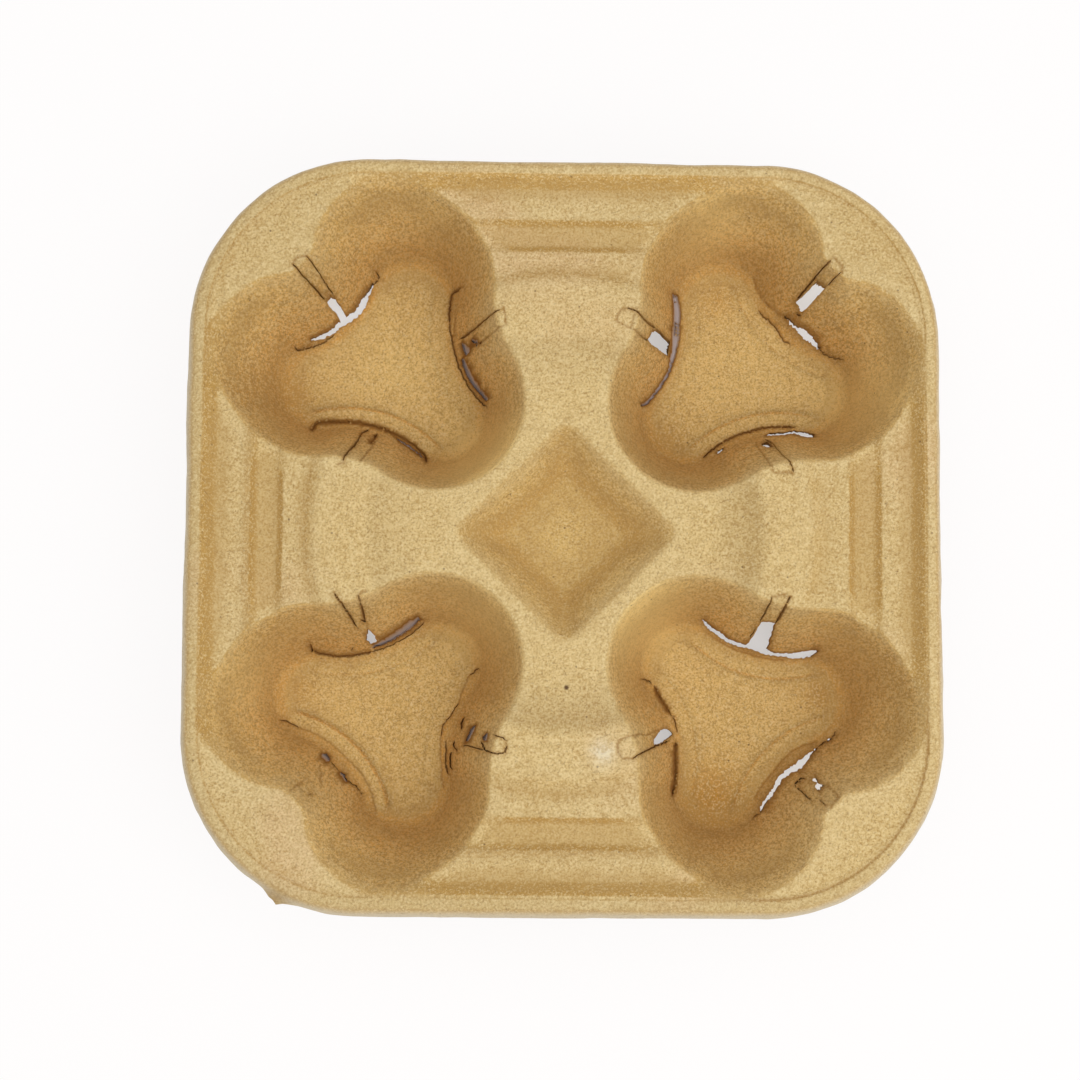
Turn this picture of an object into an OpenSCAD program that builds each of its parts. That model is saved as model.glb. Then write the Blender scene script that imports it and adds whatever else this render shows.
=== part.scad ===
// Moulded pulp carrier for four cups: one thin shell with four three-lobed pockets.
// The base of the pockets rests on the table at z = 0 and the centre of the tray is on the Z axis.
// +Y is the back, -Y the front, -X the left and +X the right.

/* [Outline] */
// Width and depth across the straight sides
side = 210; // [200:1:226]
// Height from the table to the top of the rim
height = 45; // [40:0.5:54]
// Radius of the four outer corners
corner_r = 50; // [40:1:56]
// Thickness of the pulp
wall = 2; // [1.4:0.1:2.4]

/* [Rim] */
// Drop from the top of the rim to the lower edge of its skirt
skirt_drop = 8; // [6:0.5:12]
// How far the lower edge of the skirt stands out past its upper edge
skirt_lean = 1.2; // [0.4:0.1:2]
// Rounding along the top of the rim
rim_round = 3; // [2.6:0.1:3.6]
// Width of the raised band along the rim
rim_w = 6.5; // [6:0.1:8]
// Step from the band down to the flat corners
rim_step = 0.8; // [0.4:0.1:1.4]

/* [Side troughs] */
// Distance from the outer edge to the top of the slope into a trough
trough_inset = 6; // [5:0.1:7]
// Depth of the troughs below the rim
trough_d = 3.8; // [2.8:0.1:6]
// Length of a trough along its side, at the rim
trough_l = 126; // [118:1:130]
// Rounding of the ends of a trough, in plan
trough_r = 14; // [8:1:20]
// Distance from the outer edge to the groove in a trough
groove_inset = 18.3; // [15:0.1:20]
// Width of the groove
groove_w = 7.8; // [6:0.1:10]
// Depth of the groove
groove_d = 1.8; // [0.8:0.1:2.6]

/* [Raised ring and dish] */
// Radius of the ring's outer edge
ring_r = 69.5; // [66:0.5:74]
// Height of the ring above the troughs
ring_h = 2.4; // [1:0.1:3]
// Width of the slope from the troughs up to the ring
ring_run = 4.5; // [3:0.1:7]
// Radius at which the dish inside the ring starts to fall
dish_top_r = 57; // [52:1:62]
// Radius at which the dish becomes flat
dish_flat_r = 46; // [38:1:50]
// Fall of the dish
dish_d = 2.4; // [1:0.1:4]

/* [Centre well] */
// Width across the sides of the well at its lip
well_w = 44; // [38:0.5:46]
// Width across the sides of the well at its floor
well_floor_w = 25; // [20:0.5:30]
// Depth of the well below the dish
well_d = 13; // [8:0.5:18]
// Rounding of the well's four corners
well_r = 4; // [2:0.5:7]

/* [Pockets] */
// Distance between the axes of neighbouring pockets
pocket_pitch = 100.5; // [98:0.5:104]
// Distance from a pocket's axis to the centre of each lobe
lobe_reach = 20.2; // [18:0.2:22]
// Radius of a lobe at the top of the rim
lobe_top_r = 25.6; // [24:0.2:27]
// Radius of a lobe at the pocket's floor
lobe_floor_r = 12; // [9:0.5:14]
// Radius of a flap at the top of the rim
flap_top_r = 22; // [16:0.5:26]
// Radius of a flap at the pocket's floor
flap_floor_r = 31; // [26:0.5:40]
// Rounding between the walls and the floor
floor_round = 6; // [3:0.5:8]
// Rounding of the lip
lip_round = 2; // [1:0.1:2.4]

/* [Slits] */
// Width of a slit that is still closed
slit_w = 0.8; // [0.5:0.1:1.2]
// Reach of a slit to each side of its flap's middle, in degrees round the flap
slit_angle = 31; // [24:1:34]
// Width of the stem that runs from a slit up its flap
stem_w = 4.5; // [3:0.1:6]
// Length of a stem that is torn all the way, in plan
stem_l = 16; // [12:0.5:18]

/* [Tears: start and end along the slit from -1 to 1, width, torn share of the stem] */
// Back right pocket, flap by the right side
back_right_right = [0.1, 0.95, 2, 0.14]; // [-1:0.01:3]
// Back right pocket, corner flap
back_right_corner = [-0.7, 0.25, 2.2, 0.5]; // [-1:0.01:3]
// Back right pocket, flap by the back
back_right_back = [-0.9, 0.5, 1.6, 0.42]; // [-1:0.01:3]
// Back left pocket, flap by the back
back_left_back = [-0.85, 0.05, 1.4, 0]; // [-1:0.01:3]
// Back left pocket, corner flap
back_left_corner = [-0.85, 0.75, 2.3, 0.36]; // [-1:0.01:3]
// Back left pocket, flap by the left side
back_left_left = [0.3, 0.8, 1, 0]; // [-1:0.01:3]
// Front left pocket, flap by the left side
front_left_left = [-0.95, 0.1, 2.2, 0.2]; // [-1:0.01:3]
// Front left pocket, corner flap
front_left_corner = [-0.2, 0.3, 1.2, 0]; // [-1:0.01:3]
// Front left pocket, flap by the front
front_left_front = [-0.1, 0.3, 1, 0.25]; // [-1:0.01:3]
// Front right pocket, flap by the front
front_right_front = [0.1, 0.9, 1.2, 0.3]; // [-1:0.01:3]
// Front right pocket, corner flap
front_right_corner = [-0.75, 0.65, 2.1, 0.1]; // [-1:0.01:3]
// Front right pocket, flap by the right side
front_right_right = [-0.95, 0.95, 2.4, 0.48]; // [-1:0.01:3]

/* [Hidden] */

// Facets: corners of the outline, a quarter of the rim's rounding, lobes, flaps,
// roundings of a floor inside and outside, the round ring, the steps of a slit and its ends
corner_n = 9;
rim_n = 3;
lobe_n = 10;
flap_n = 6;
floor_in_n = 3;
floor_out_n = 2;
round_fn = 80;
slit_n = 5;
slit_fn = 6;

half = side / 2;
tall = height + 10;
deep = -10;

// Slopes of the troughs and of the groove stand at 45 degrees.
// A shell of even thickness shifts the foot of such a slope by this much.
slope_shift = wall * tan(45 / 2);
trough_z = height - trough_d;
ring_z = trough_z + ring_h;
dish_z = ring_z - dish_d;
well_z = dish_z - well_d;

// Draft of the pocket walls, and what the roundings take from a floor and from a lip
draft = atan((lobe_top_r - lobe_floor_r) / (height - wall));
turn = 90 - draft;
floor_take = floor_round * tan(turn / 2);
lip_take = lip_round * tan(turn / 2);
// The cut of a lip ends this far above the deck, so that it leaves no skin
lip_over = 0.12;
// and then opens out by this much up to the top of the cut
lip_flare = 6;

// Each flap is torn by its own amount, counted round a pocket from the lobe at the tray's centre.
tears = [
    [back_right_right, back_right_corner, back_right_back],
    [back_left_back, back_left_corner, back_left_left],
    [front_left_left, front_left_corner, front_left_front],
    [front_right_front, front_right_corner, front_right_right],
];

function dir(a) = [cos(a), sin(a)];
function clamp01(u) = min(1, max(0, u));
function mix(a, b, u) = a + (b - a) * u;
function lift(p, z) = [p.x, p.y, z];

// A closed solid through rings of equal length, from the lowest to the highest.
module loft(rings) {
    n = len(rings[0]);
    last = (len(rings) - 1) * n;
    sides = [
        for (j = [0:len(rings) - 2], i = [0:n - 1])
            let (a = j * n + i, b = j * n + (i + 1) % n)
                each [[a, a + n, b + n], [a, b + n, b]]
    ];
    base = [for (i = [0:n - 1]) i];
    top = [for (i = [n - 1:-1:0]) last + i];
    polyhedron([for (r = rings) each r], concat([base, top], sides), convexity = 10);
}

// A rounded rectangle at one height.
function rect_ring(hx, hy, r, z) = [
    for (q = [0:3], i = [0:corner_n])
        let (a = 90 * (q + i / corner_n), s = dir(90 * q + 45) * sqrt(2))
            [s.x * (hx - r) + r * cos(a), s.y * (hy - r) + r * sin(a), z]
];

// The rim with its skirt, filled down to the given height; g is the depth below the outer face.
module rim_form(g, bottom) {
    round_r = rim_round - g;
    upper = skirt_lean + g;
    rim_ring = function (inset, z) rect_ring(half - inset, half - inset, corner_r - inset, z);
    loft(concat(
        [rim_ring(g, bottom), rim_ring(g, height - skirt_drop)],
        [
            for (i = [0:rim_n])
                let (a = 90 * i / rim_n)
                    rim_ring(upper + round_r * (1 - cos(a)), height - rim_round + round_r * sin(a))
        ],
        [rim_ring(rim_w, height - g), rim_ring(rim_w + rim_step, height - rim_step - g)]
    ));
}

// Two shallow trays that cross: the troughs of opposite sides and all that lies between them.
module trough_cut(g) {
    shift = g > 0 ? slope_shift : 0;
    for (turned = [0, 90])
        rotate(turned)
            loft([
                for (z = [trough_z - g, tall])
                    let (grow = z - height + g + shift)
                        rect_ring(half - trough_inset + grow, trough_l / 2 + grow, trough_r + grow, z)
            ]);
}

// The straight groove along each side of the tray, a section drawn out from pocket to pocket.
module groove_cut(g) {
    shift = g > 0 ? slope_shift : 0;
    outer = half - groove_inset + shift;
    inner = outer - groove_w - 2 * shift;
    over = trough_d;
    for (q = [0:3])
        rotate(90 * q)
            translate([0, pocket_pitch / 2, trough_z - g])
                rotate([90, 0, 0])
                    linear_extrude(pocket_pitch)
                        polygon([
                            [inner + groove_d, -groove_d],
                            [outer - groove_d, -groove_d],
                            [outer + over, over],
                            [inner - over, over]
                        ]);
}

// The flat-topped ring that rises round the middle of the tray.
module ring_form(g) {
    foot_r = ring_r - g * tan(atan(ring_h / ring_run) / 2);
    translate([0, 0, trough_z - g - wall])
        cylinder(r = foot_r, h = wall, $fn = round_fn);
    translate([0, 0, trough_z - g])
        cylinder(r1 = foot_r, r2 = foot_r - ring_run, h = ring_h, $fn = round_fn);
}

// The shallow dish inside the ring.
module dish_cut(g) {
    fall = dish_top_r - dish_flat_r;
    translate([0, 0, dish_z - g])
        cylinder(r1 = dish_flat_r, r2 = dish_flat_r + 2 * fall, h = 2 * dish_d, $fn = round_fn);
}

// The drafted square well, set corner to side; g grows it to the outside of the pulp.
module well_cut(g) {
    lean = (well_w - well_floor_w) / 2 / well_d;
    grow = g * (sqrt(1 + lean * lean) - lean);
    floor_half = well_floor_w / 2 + grow;
    rise = tall - well_z;
    rotate(45)
        loft([
            rect_ring(floor_half, floor_half, well_r, well_z - g),
            rect_ring(floor_half + lean * (rise + g), floor_half + lean * (rise + g), well_r, tall)
        ]);
}

// The solid under the upper face of the tray, or under its lower face for g = wall.
module deck_form(g, bottom) {
    difference() {
        union() {
            difference() {
                rim_form(g, bottom);
                trough_cut(g);
            }
            ring_form(g);
        }
        dish_cut(g);
        groove_cut(g);
    }
}

// Height of the upper face at a point in plan, for the lips of the pockets.
function deck_z(p) =
    let (far = max(abs(p.x), abs(p.y)), near = min(abs(p.x), abs(p.y)), r = norm(p))
    let (from_rim = half - trough_inset - far, from_end = trough_l / 2 - near)
    let (from_edge = from_rim < trough_r && from_end < trough_r
        ? trough_r - norm([trough_r - from_rim, trough_r - from_end])
        : min(from_rim, from_end))
    let (trough = min(trough_d, max(rim_step, from_edge)))
    let (in_groove = near < pocket_pitch / 2 ? groove_w / 2 - abs(half - groove_inset - groove_w / 2 - far) : 0)
    let (groove = min(groove_d, max(0, in_groove)))
    let (ring = ring_h * clamp01((ring_r - r) / ring_run))
    let (dish = dish_d * clamp01((dish_top_r - r) / (dish_top_r - dish_flat_r)))
        height - trough - groove + ring - dish;

// Distance from a pocket's axis to the centre of a flap that is tangent to its lobes.
function flap_reach(lobe_r, flap_r) =
    lobe_reach / 2 + sqrt(pow(lobe_r + flap_r, 2) - pow(lobe_reach * sin(60), 2));

// Three lobes and, between them, three flaps that bulge inward, each arc tangent to the next.
// The first lobe points to the centre of the tray.
function pocket_outline(lobe_r, flap_r) =
    let (reach = flap_reach(lobe_r, flap_r))
    let (meet = atan2(reach * sin(60), reach * cos(60) - lobe_reach))
        [
            for (k = [0:2])
                let (lobe_a = 225 + 120 * k, flap_a = lobe_a + 60)
                    each concat(
                        [
                            for (i = [0:lobe_n])
                                lobe_reach * dir(lobe_a) + lobe_r * dir(lobe_a + meet * (2 * i / lobe_n - 1))
                        ],
                        [
                            for (i = [1:flap_n - 1])
                                reach * dir(flap_a)
                                    + flap_r * dir(flap_a + 180 + (meet - 60) * (1 - 2 * i / flap_n))
                        ]
                    )
        ];

pocket_at = [pocket_pitch / 2, pocket_pitch / 2];
floor_outline = pocket_outline(lobe_floor_r, flap_floor_r);
top_outline = pocket_outline(lobe_top_r, flap_top_r);

// A point of the drafted wall, in plan, at one height.
function wall_point(i, z) =
    pocket_at + mix(floor_outline[i], top_outline[i], (z - wall) / (height - wall));

function wall_out(i) = (top_outline[i] - floor_outline[i]) / norm(top_outline[i] - floor_outline[i]);

// Rings of the rounding between floor and wall; g is 0 inside the pocket and wall outside it.
function floor_rings(g, steps) = [
    for (j = [0:steps])
        let (a = turn * j / steps, r = floor_round + g)
        let (out = r * sin(a) - floor_take)
            [
                for (p = pocket_outline(lobe_floor_r + out, flap_floor_r - out))
                    lift(pocket_at + p, wall - g + r * (1 - cos(a)))
            ]
];

// Rings of the rounded lip, which follows the level of the deck, and the way out above it.
function lip_rings() =
    let (points = [0:len(top_outline) - 1])
    let (levels = [for (i = points) deck_z(wall_point(i, trough_z) + lip_take * wall_out(i))])
    let (
        lip_ring = function (out, down, z)
            [
                for (i = points)
                    lift(wall_point(i, levels[i]) + out * wall_out(i), z == undef ? levels[i] - down : z)
            ]
    )
        [
            lip_ring(-lip_take * sin(draft), lip_take * cos(draft)),
            lip_ring(lip_take - lip_round * sin(turn / 2), lip_round * (1 - cos(turn / 2))),
            lip_ring(lip_take, -lip_over),
            lip_ring(lip_take + lip_flare, 0, tall)
        ];

module pocket_cut() {
    loft(concat(floor_rings(0, floor_in_n), lip_rings()));
}

// The outside of a pocket, up to the level of the rim.
module pocket_form() {
    grow = wall / cos(draft);
    loft(concat(
        floor_rings(wall, floor_out_n),
        [[for (i = [0:len(top_outline) - 1]) lift(wall_point(i, height) + grow * wall_out(i), height)]]
    ));
}

// One slit along the foot of a flap, with its stem; tear gives what is torn open of both.
module slit_cut(flap_a, tear) {
    reach = flap_reach(lobe_floor_r, flap_floor_r);
    middle = (tear[0] + tear[1]) / 2;
    span = (tear[1] - tear[0]) / 2;
    gap = function (u) max(slit_w, tear[2] * (1 - pow((u - middle) / span, 4)));
    translate([pocket_at.x, pocket_at.y, deep])
        linear_extrude(height / 2 - deep)
            translate(reach * dir(flap_a))
                rotate(flap_a + 180) {
                    for (i = [0:slit_n - 1])
                        hull()
                            for (u = [2 * i / slit_n - 1, 2 * (i + 1) / slit_n - 1])
                                rotate(-u * slit_angle)
                                    translate([flap_floor_r - gap(u) / 2, 0])
                                        circle(d = gap(u), $fn = slit_fn);
                    if (tear[3] > 0)
                        translate([flap_floor_r - stem_l * tear[3] - slit_w, -stem_w / 2])
                            square([stem_l * tear[3] + slit_w / 2, stem_w]);
                }
}

module carrier() {
    color("burlywood")
        difference() {
            intersection() {
                deck_form(0, 0);
                union() {
                    difference() {
                        translate([-side, -side, height - skirt_drop])
                            cube([2 * side, 2 * side, tall]);
                        deck_form(wall, deep);
                    }
                    for (q = [0:3])
                        rotate(90 * q)
                            pocket_form();
                    well_cut(wall);
                }
            }
            well_cut(0);
            for (q = [0:3])
                rotate(90 * q) {
                    pocket_cut();
                    for (k = [0:2])
                        slit_cut(225 + 60 + 120 * k, tears[q][k]);
                }
        }
}

carrier();
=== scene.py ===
# %% [markdown]
# # A moulded pulp carrier for four cups
# The object is one sheet of paper pulp, sucked onto a mould as a wet layer and dried. It has no
# joints and no fittings, so all of its character is in the relief of that sheet, in the slits that
# were pressed through it and torn in use, and in the speckled fibre of the pulp.
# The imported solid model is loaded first. It gives the frame that the sheet has to fit.

# %% Load the frame
import math

import bpy
import numpy as np
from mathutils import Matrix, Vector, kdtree
from mathutils.geometry import delaunay_2d_cdt


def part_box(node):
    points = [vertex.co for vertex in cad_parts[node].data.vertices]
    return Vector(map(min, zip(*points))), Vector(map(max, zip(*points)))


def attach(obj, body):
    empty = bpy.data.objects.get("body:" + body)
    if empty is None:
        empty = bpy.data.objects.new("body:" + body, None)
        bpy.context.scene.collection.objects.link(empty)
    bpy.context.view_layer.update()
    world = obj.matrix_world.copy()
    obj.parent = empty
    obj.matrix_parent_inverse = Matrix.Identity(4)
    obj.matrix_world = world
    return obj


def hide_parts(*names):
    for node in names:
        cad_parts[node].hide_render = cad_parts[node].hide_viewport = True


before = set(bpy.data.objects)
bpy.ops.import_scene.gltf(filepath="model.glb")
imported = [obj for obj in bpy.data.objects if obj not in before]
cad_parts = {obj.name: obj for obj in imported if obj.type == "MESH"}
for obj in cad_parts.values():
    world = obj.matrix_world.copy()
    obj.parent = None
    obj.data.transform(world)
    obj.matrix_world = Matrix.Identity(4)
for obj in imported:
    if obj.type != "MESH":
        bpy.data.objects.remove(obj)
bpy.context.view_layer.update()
bpy.ops.object.select_all(action="DESELECT")
low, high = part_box("carrier")
print("solid model from", tuple(low), "to", tuple(high))

# %% [markdown]
# The relief is worked out in millimetres, as a mould maker would write it, and goes to metres only
# when the mesh is made. The overall sizes come from the solid, the rest are the mould's own steps.

# %% Sizes of the mould
MM = 0.001
HALF = (high.x - low.x) / 2 / MM
TOP = high.z / MM
WALL = 2.0
CORNER_R = 50.0
SKIRT_DROP, SKIRT_LEAN, RIM_ROUND = 8.0, 1.2, 3.0
RIM_W, RIM_STEP, RIM_LINE_D, RIM_LINE_W = 5.9, 0.8, 0.4, 0.35
PITCH_HALF = 50.25
print(f"tray {2 * HALF:.0f} mm square, {TOP:.0f} mm high")

# %% [markdown]
# Pulp has no sharp edges: a wet layer rounds every step of the mould. A plain minimum of two
# heights would leave a crease, so these helpers blend over a short span instead. They are what the
# Bevel modifier would do, but they also work where three steps meet. Two more tell how far a value
# is on its way from one limit to another, straight or eased at both ends.

# %% Rounded steps


def soft_min(a, b, span):
    share = np.clip(0.5 + 0.5 * (b - a) / span, 0, 1)
    return b * (1 - share) + a * share - span * share * (1 - share)


def soft_max(a, b, span):
    return -soft_min(-a, -b, span)


def ramp(rise, top, span):
    """0, then the rise, then level at top, with both ends rounded."""
    return soft_min(soft_max(rise, 0.0, span), top, 2 * span)


def part_way(value, start, full):
    """0 at the start, 1 at full, and straight between them."""
    return np.clip((value - start) / (full - start), 0, 1)


def eased(share):
    return share * share * (3 - 2 * share)


print("half way up a step of 1 mm:", float(ramp(0.5, 1.0, 0.2)), "mm")

# %% [markdown]
# The deck is the level part of the tray. From the outside in there is a skirt with a round
# shoulder, a flat rim, a small step down, a shallow trough along each side with a groove in it, and
# in the middle a raised ring, a dish, and a square well that stands on its corner.
# Each of these is one line of height over the plan, and the deck is their sum. The troughs are not
# quite alike: the slope from the rim starts a little further in at the right, back and front.

# %% Height of the deck
TROUGH_INSET, TROUGH_D, TROUGH_LEAN, TROUGH_HALF, TROUGH_R = 5.0, 3.8, 0.9, 65.5, 14.0
INSET_RIGHT, INSET_BACK, INSET_FRONT = 0.6, 0.5, 1.0
STEP_SPAN, GROOVE_SPAN, WELL_SPAN, WELL_LIP, FLAT_RIM = 0.5, 0.4, 3.6, 1.3, 2
GROOVE_OUT, GROOVE_IN, GROOVE_D = 86.7, 77.7, 1.8
RING_R, RING_H, RING_RUN, RING_X, RING_Y = 71.7, 1.9, 3.6, -0.9, 1.3
DISH_R, DISH_D, DISH_RUN = 57.0, 1.9, 11.0
WELL_FLOOR, WELL_R, WELL_LEAN, WELL_Z = 12.5, 3.4, 0.7308, 28.2


def edge_gap(x, y):
    """Distance in from the outline of the tray."""
    over_x, over_y = np.abs(x) - HALF + CORNER_R, np.abs(y) - HALF + CORNER_R
    outside = np.hypot(np.maximum(over_x, 0), np.maximum(over_y, 0))
    return CORNER_R - outside - np.minimum(np.maximum(over_x, over_y), 0)


def rim_height(gap):
    shoulder = TOP - RIM_ROUND
    skirt = TOP - SKIRT_DROP + gap * (SKIRT_DROP - RIM_ROUND) / SKIRT_LEAN
    across = RIM_ROUND - np.clip(gap - SKIRT_LEAN, 0, RIM_ROUND)
    return np.where(gap < SKIRT_LEAN, skirt, shoulder + np.sqrt(RIM_ROUND**2 - across**2))


def well_height(x, y):
    along, across = np.abs(x + y) / math.sqrt(2), np.abs(x - y) / math.sqrt(2)
    skew = np.abs(along - across)
    bend = np.sqrt(np.maximum(2 * WELL_R**2 - skew**2, 0))
    square = np.where(skew < WELL_R, (along + across - bend) / 2 + WELL_R, np.maximum(along, across))
    return WELL_Z + soft_max((square - WELL_FLOOR) / WELL_LEAN, 0.0, WELL_SPAN)


def deck_height(x, y):
    far = np.maximum(np.abs(x), np.abs(y))
    near = np.minimum(np.abs(x), np.abs(y))
    gap = edge_gap(x, y)
    sideways, endways = np.where(x > 0, INSET_RIGHT, 0), np.where(y > 0, INSET_BACK, INSET_FRONT)
    inset = np.where(np.abs(x) > np.abs(y), sideways, endways)
    to_rim, to_end = HALF - TROUGH_INSET - inset - far, TROUGH_HALF - near
    in_corner = TROUGH_R - np.hypot(TROUGH_R - to_rim, TROUGH_R - to_end)
    turning = (to_rim < TROUGH_R) & (to_end < TROUGH_R)
    in_trough = np.where(turning, in_corner, np.minimum(to_rim, to_end))
    rim_line = RIM_LINE_D * np.exp(-(((gap - RIM_W) / RIM_LINE_W) ** 2))
    step = ramp(gap - RIM_W, RIM_STEP, STEP_SPAN) + rim_line
    drop = soft_max(step, ramp(in_trough * TROUGH_LEAN, TROUGH_D, STEP_SPAN), STEP_SPAN)
    in_groove = np.minimum(GROOVE_OUT - far, far - GROOVE_IN)
    groove = np.where(near < PITCH_HALF, ramp(in_groove, GROOVE_D, GROOVE_SPAN), 0)
    ring = ramp((RING_R - np.hypot(x - RING_X, y - RING_Y)) * RING_H / RING_RUN, RING_H, STEP_SPAN)
    dish = ramp((DISH_R - np.hypot(x, y)) * DISH_D / DISH_RUN, DISH_D, STEP_SPAN)
    level = rim_height(gap) - np.where(gap > RIM_W - FLAT_RIM, drop, 0) - groove + ring - dish
    return soft_min(level, well_height(x, y), WELL_LIP)


print("deck at the middle of a side, mm:", float(deck_height(np.array(0.0), np.array(-95.0))))

# %% [markdown]
# Each of the four pockets has three round lobes, and between them three flaps that bulge inward
# and press on the cup. Wall and flap are cones, so the height at a point of the wall follows from
# its distance to the axis of the nearest lobe or flap. The pocket repeats every quarter turn, and
# inside it every third of a turn, so one formula serves all twelve flaps. The two outer lobes of a
# pocket are wider at the top, and lean over toward the corner of the tray.

# %% Height of the pockets
LOBE_REACH, LOBE_FLOOR_R, LOBE_RUN = 20.2, 12.0, 13.6
LEAN_OUT, LEAN_ASIDE, LEAN_R, LEAN_SPAN = 5.0, 4.2, 9.0, 0.06
FLAP_REACH, FLAP_SHIFT, FLAP_FLOOR_R, FLAP_TAPER = 49.38, 4.99, 31.0, 9.0
LOBE_ANGLE, LOBE_MEET, LOBE_MEET_FALL = 225.0, 84.0, 2.4
FLOOR_ROUND, LIP_SPAN = 6.0, 1.1
DRAFT = math.atan(LOBE_RUN / (TOP - WALL))
FLOOR_TAKE = FLOOR_ROUND * math.tan((math.pi / 2 - DRAFT) / 2)
FLOOR_END = FLOOR_ROUND * math.cos(DRAFT)


def quarter_of(x, y):
    """Which pocket is nearest, counted from the back right one by way of the back left one."""
    return np.where(y >= 0, np.where(x >= 0, 0, 1), np.where(x < 0, 2, 3))


def in_pocket(x, y):
    """The point seen from the axis of its pocket, as if that were the back right one."""
    quarter = quarter_of(x, y)
    cos, sin = np.array([1, 0, -1, 0])[quarter], np.array([0, 1, 0, -1])[quarter]
    return cos * x + sin * y - PITCH_HALF, cos * y - sin * x - PITCH_HALF


def cone_share(ahead, aside2, shift, radius, taper, way):
    """Share of the height at which a cone that leans ahead passes over a point."""
    a = shift**2 - taper**2
    b = -2 * (ahead * shift + radius * taper)
    c = ahead**2 + aside2 - radius**2
    return (way * np.sqrt(np.maximum(b * b - 4 * a * c, 0)) - b) / (2 * a)


def around_lobe(x, y):
    """Places along and across the axis of the nearest lobe, and which lobe that is."""
    px, py = in_pocket(x, y)
    reach = np.hypot(px, py)
    angle = np.mod(np.degrees(np.arctan2(py, px)) - LOBE_ANGLE + 60, 360)
    turned = np.radians(np.mod(angle, 120) - 60)
    return reach * np.cos(turned), reach * np.sin(turned), (angle // 120).astype(int)


def around_flap(x, y):
    """Places ahead and aside of the axis of the nearest flap."""
    lx, ly, _ = around_lobe(x, y)
    cos, sin = math.cos(math.radians(60)), math.sin(math.radians(60))
    return lx * cos + np.abs(ly) * sin - FLAP_REACH, np.abs(ly) * cos - lx * sin


def even_share(x, y):
    """0 at the foot of a pocket's wall, 1 at the level of the rim, less than 0 over the floor."""
    lx, ly, _ = around_lobe(x, y)
    ahead, aside = around_flap(x, y)
    on_lobe = (np.hypot(lx - LOBE_REACH, ly) - LOBE_FLOOR_R) / LOBE_RUN
    on_flap = cone_share(ahead, aside**2, FLAP_SHIFT, FLAP_FLOOR_R, -FLAP_TAPER, 1)
    bearing = np.degrees(np.arctan2(np.abs(ly), lx - LOBE_REACH))
    return np.where(bearing > LOBE_MEET - LOBE_MEET_FALL * on_lobe, on_flap, on_lobe)


def wall_share(x, y):
    """The same, with the two outer lobes leaning over toward the corner of the tray."""
    even = even_share(x, y)
    lx, ly, lobe = around_lobe(x, y)
    to_corner = ly * np.array([0, 1, -1])[lobe]
    outward, lean = lx - LOBE_REACH, math.hypot(LEAN_OUT, LEAN_ASIDE)
    ahead = (outward * LEAN_OUT + to_corner * LEAN_ASIDE) / lean
    aside = (outward * LEAN_ASIDE - to_corner * LEAN_OUT) / lean
    wide = cone_share(ahead, aside**2, lean, LEAN_R, LOBE_RUN, -1)
    return np.where(lobe == 0, even, soft_min(even, wide, LEAN_SPAN))


print(f"the walls of the lobes lean out by {math.degrees(DRAFT):.1f} degrees")

# %% [markdown]
# The floor of a pocket has a low fold in front of every slit, left by the tool that pressed the
# slit. Some folds are strong and some are hardly seen, so each has a share of its own.

# %% Folds and the whole tray
FOLD_AT, FOLD_W, FOLD_H, FOLD_HALF = -5.4, 1.2, 1.1, 20.0
FOLD_END, FOLD_LINE_W = 4, 0.7
FOLD_SHARE = np.array([(0.8, 0.5, 0.4), (0.4, 0.15, 1.0), (0.5, 1.2, 0.3), (0.5, 0.7, 0.7)])


def fold(x, y):
    """Height of the fold, steep on the side of the middle, and how near a point is to its foot."""
    ahead, aside = around_flap(x, y)
    _, ly, lobe = around_lobe(x, y)
    share = FOLD_SHARE[quarter_of(x, y), (lobe - (ly < 0)) % 3]
    along = np.abs(np.arctan2(aside, -ahead)) * FLAP_FLOOR_R
    up = FLAP_FLOOR_R - np.hypot(ahead, aside)
    rise = np.clip((up - FOLD_AT) / FOLD_W + 0.5, 0, 1)
    fall = part_way(up, FOLD_AT, 0)
    ends = part_way(along, FOLD_HALF, FOLD_HALF - FOLD_END)
    foot = np.exp(-(((up - FOLD_AT + FOLD_W / 2) / FOLD_LINE_W) ** 2)) * ends * share
    return FOLD_H * share * eased(rise) * (1 - fall) * ends, foot


def pocket_height(x, y):
    share = wall_share(x, y)
    run = share * LOBE_RUN + FLOOR_TAKE
    bowl = WALL + FLOOR_ROUND - np.sqrt(FLOOR_ROUND**2 - np.clip(run, 0, FLOOR_END) ** 2)
    return np.where(run < FLOOR_END, bowl + fold(x, y)[0], WALL + (TOP - WALL) * share)


def tray_height(x, y):
    return soft_min(deck_height(x, y), pocket_height(x, y), LIP_SPAN)


print("floor of a pocket, mm:", float(tray_height(np.array(PITCH_HALF), np.array(PITCH_HALF))))
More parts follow.
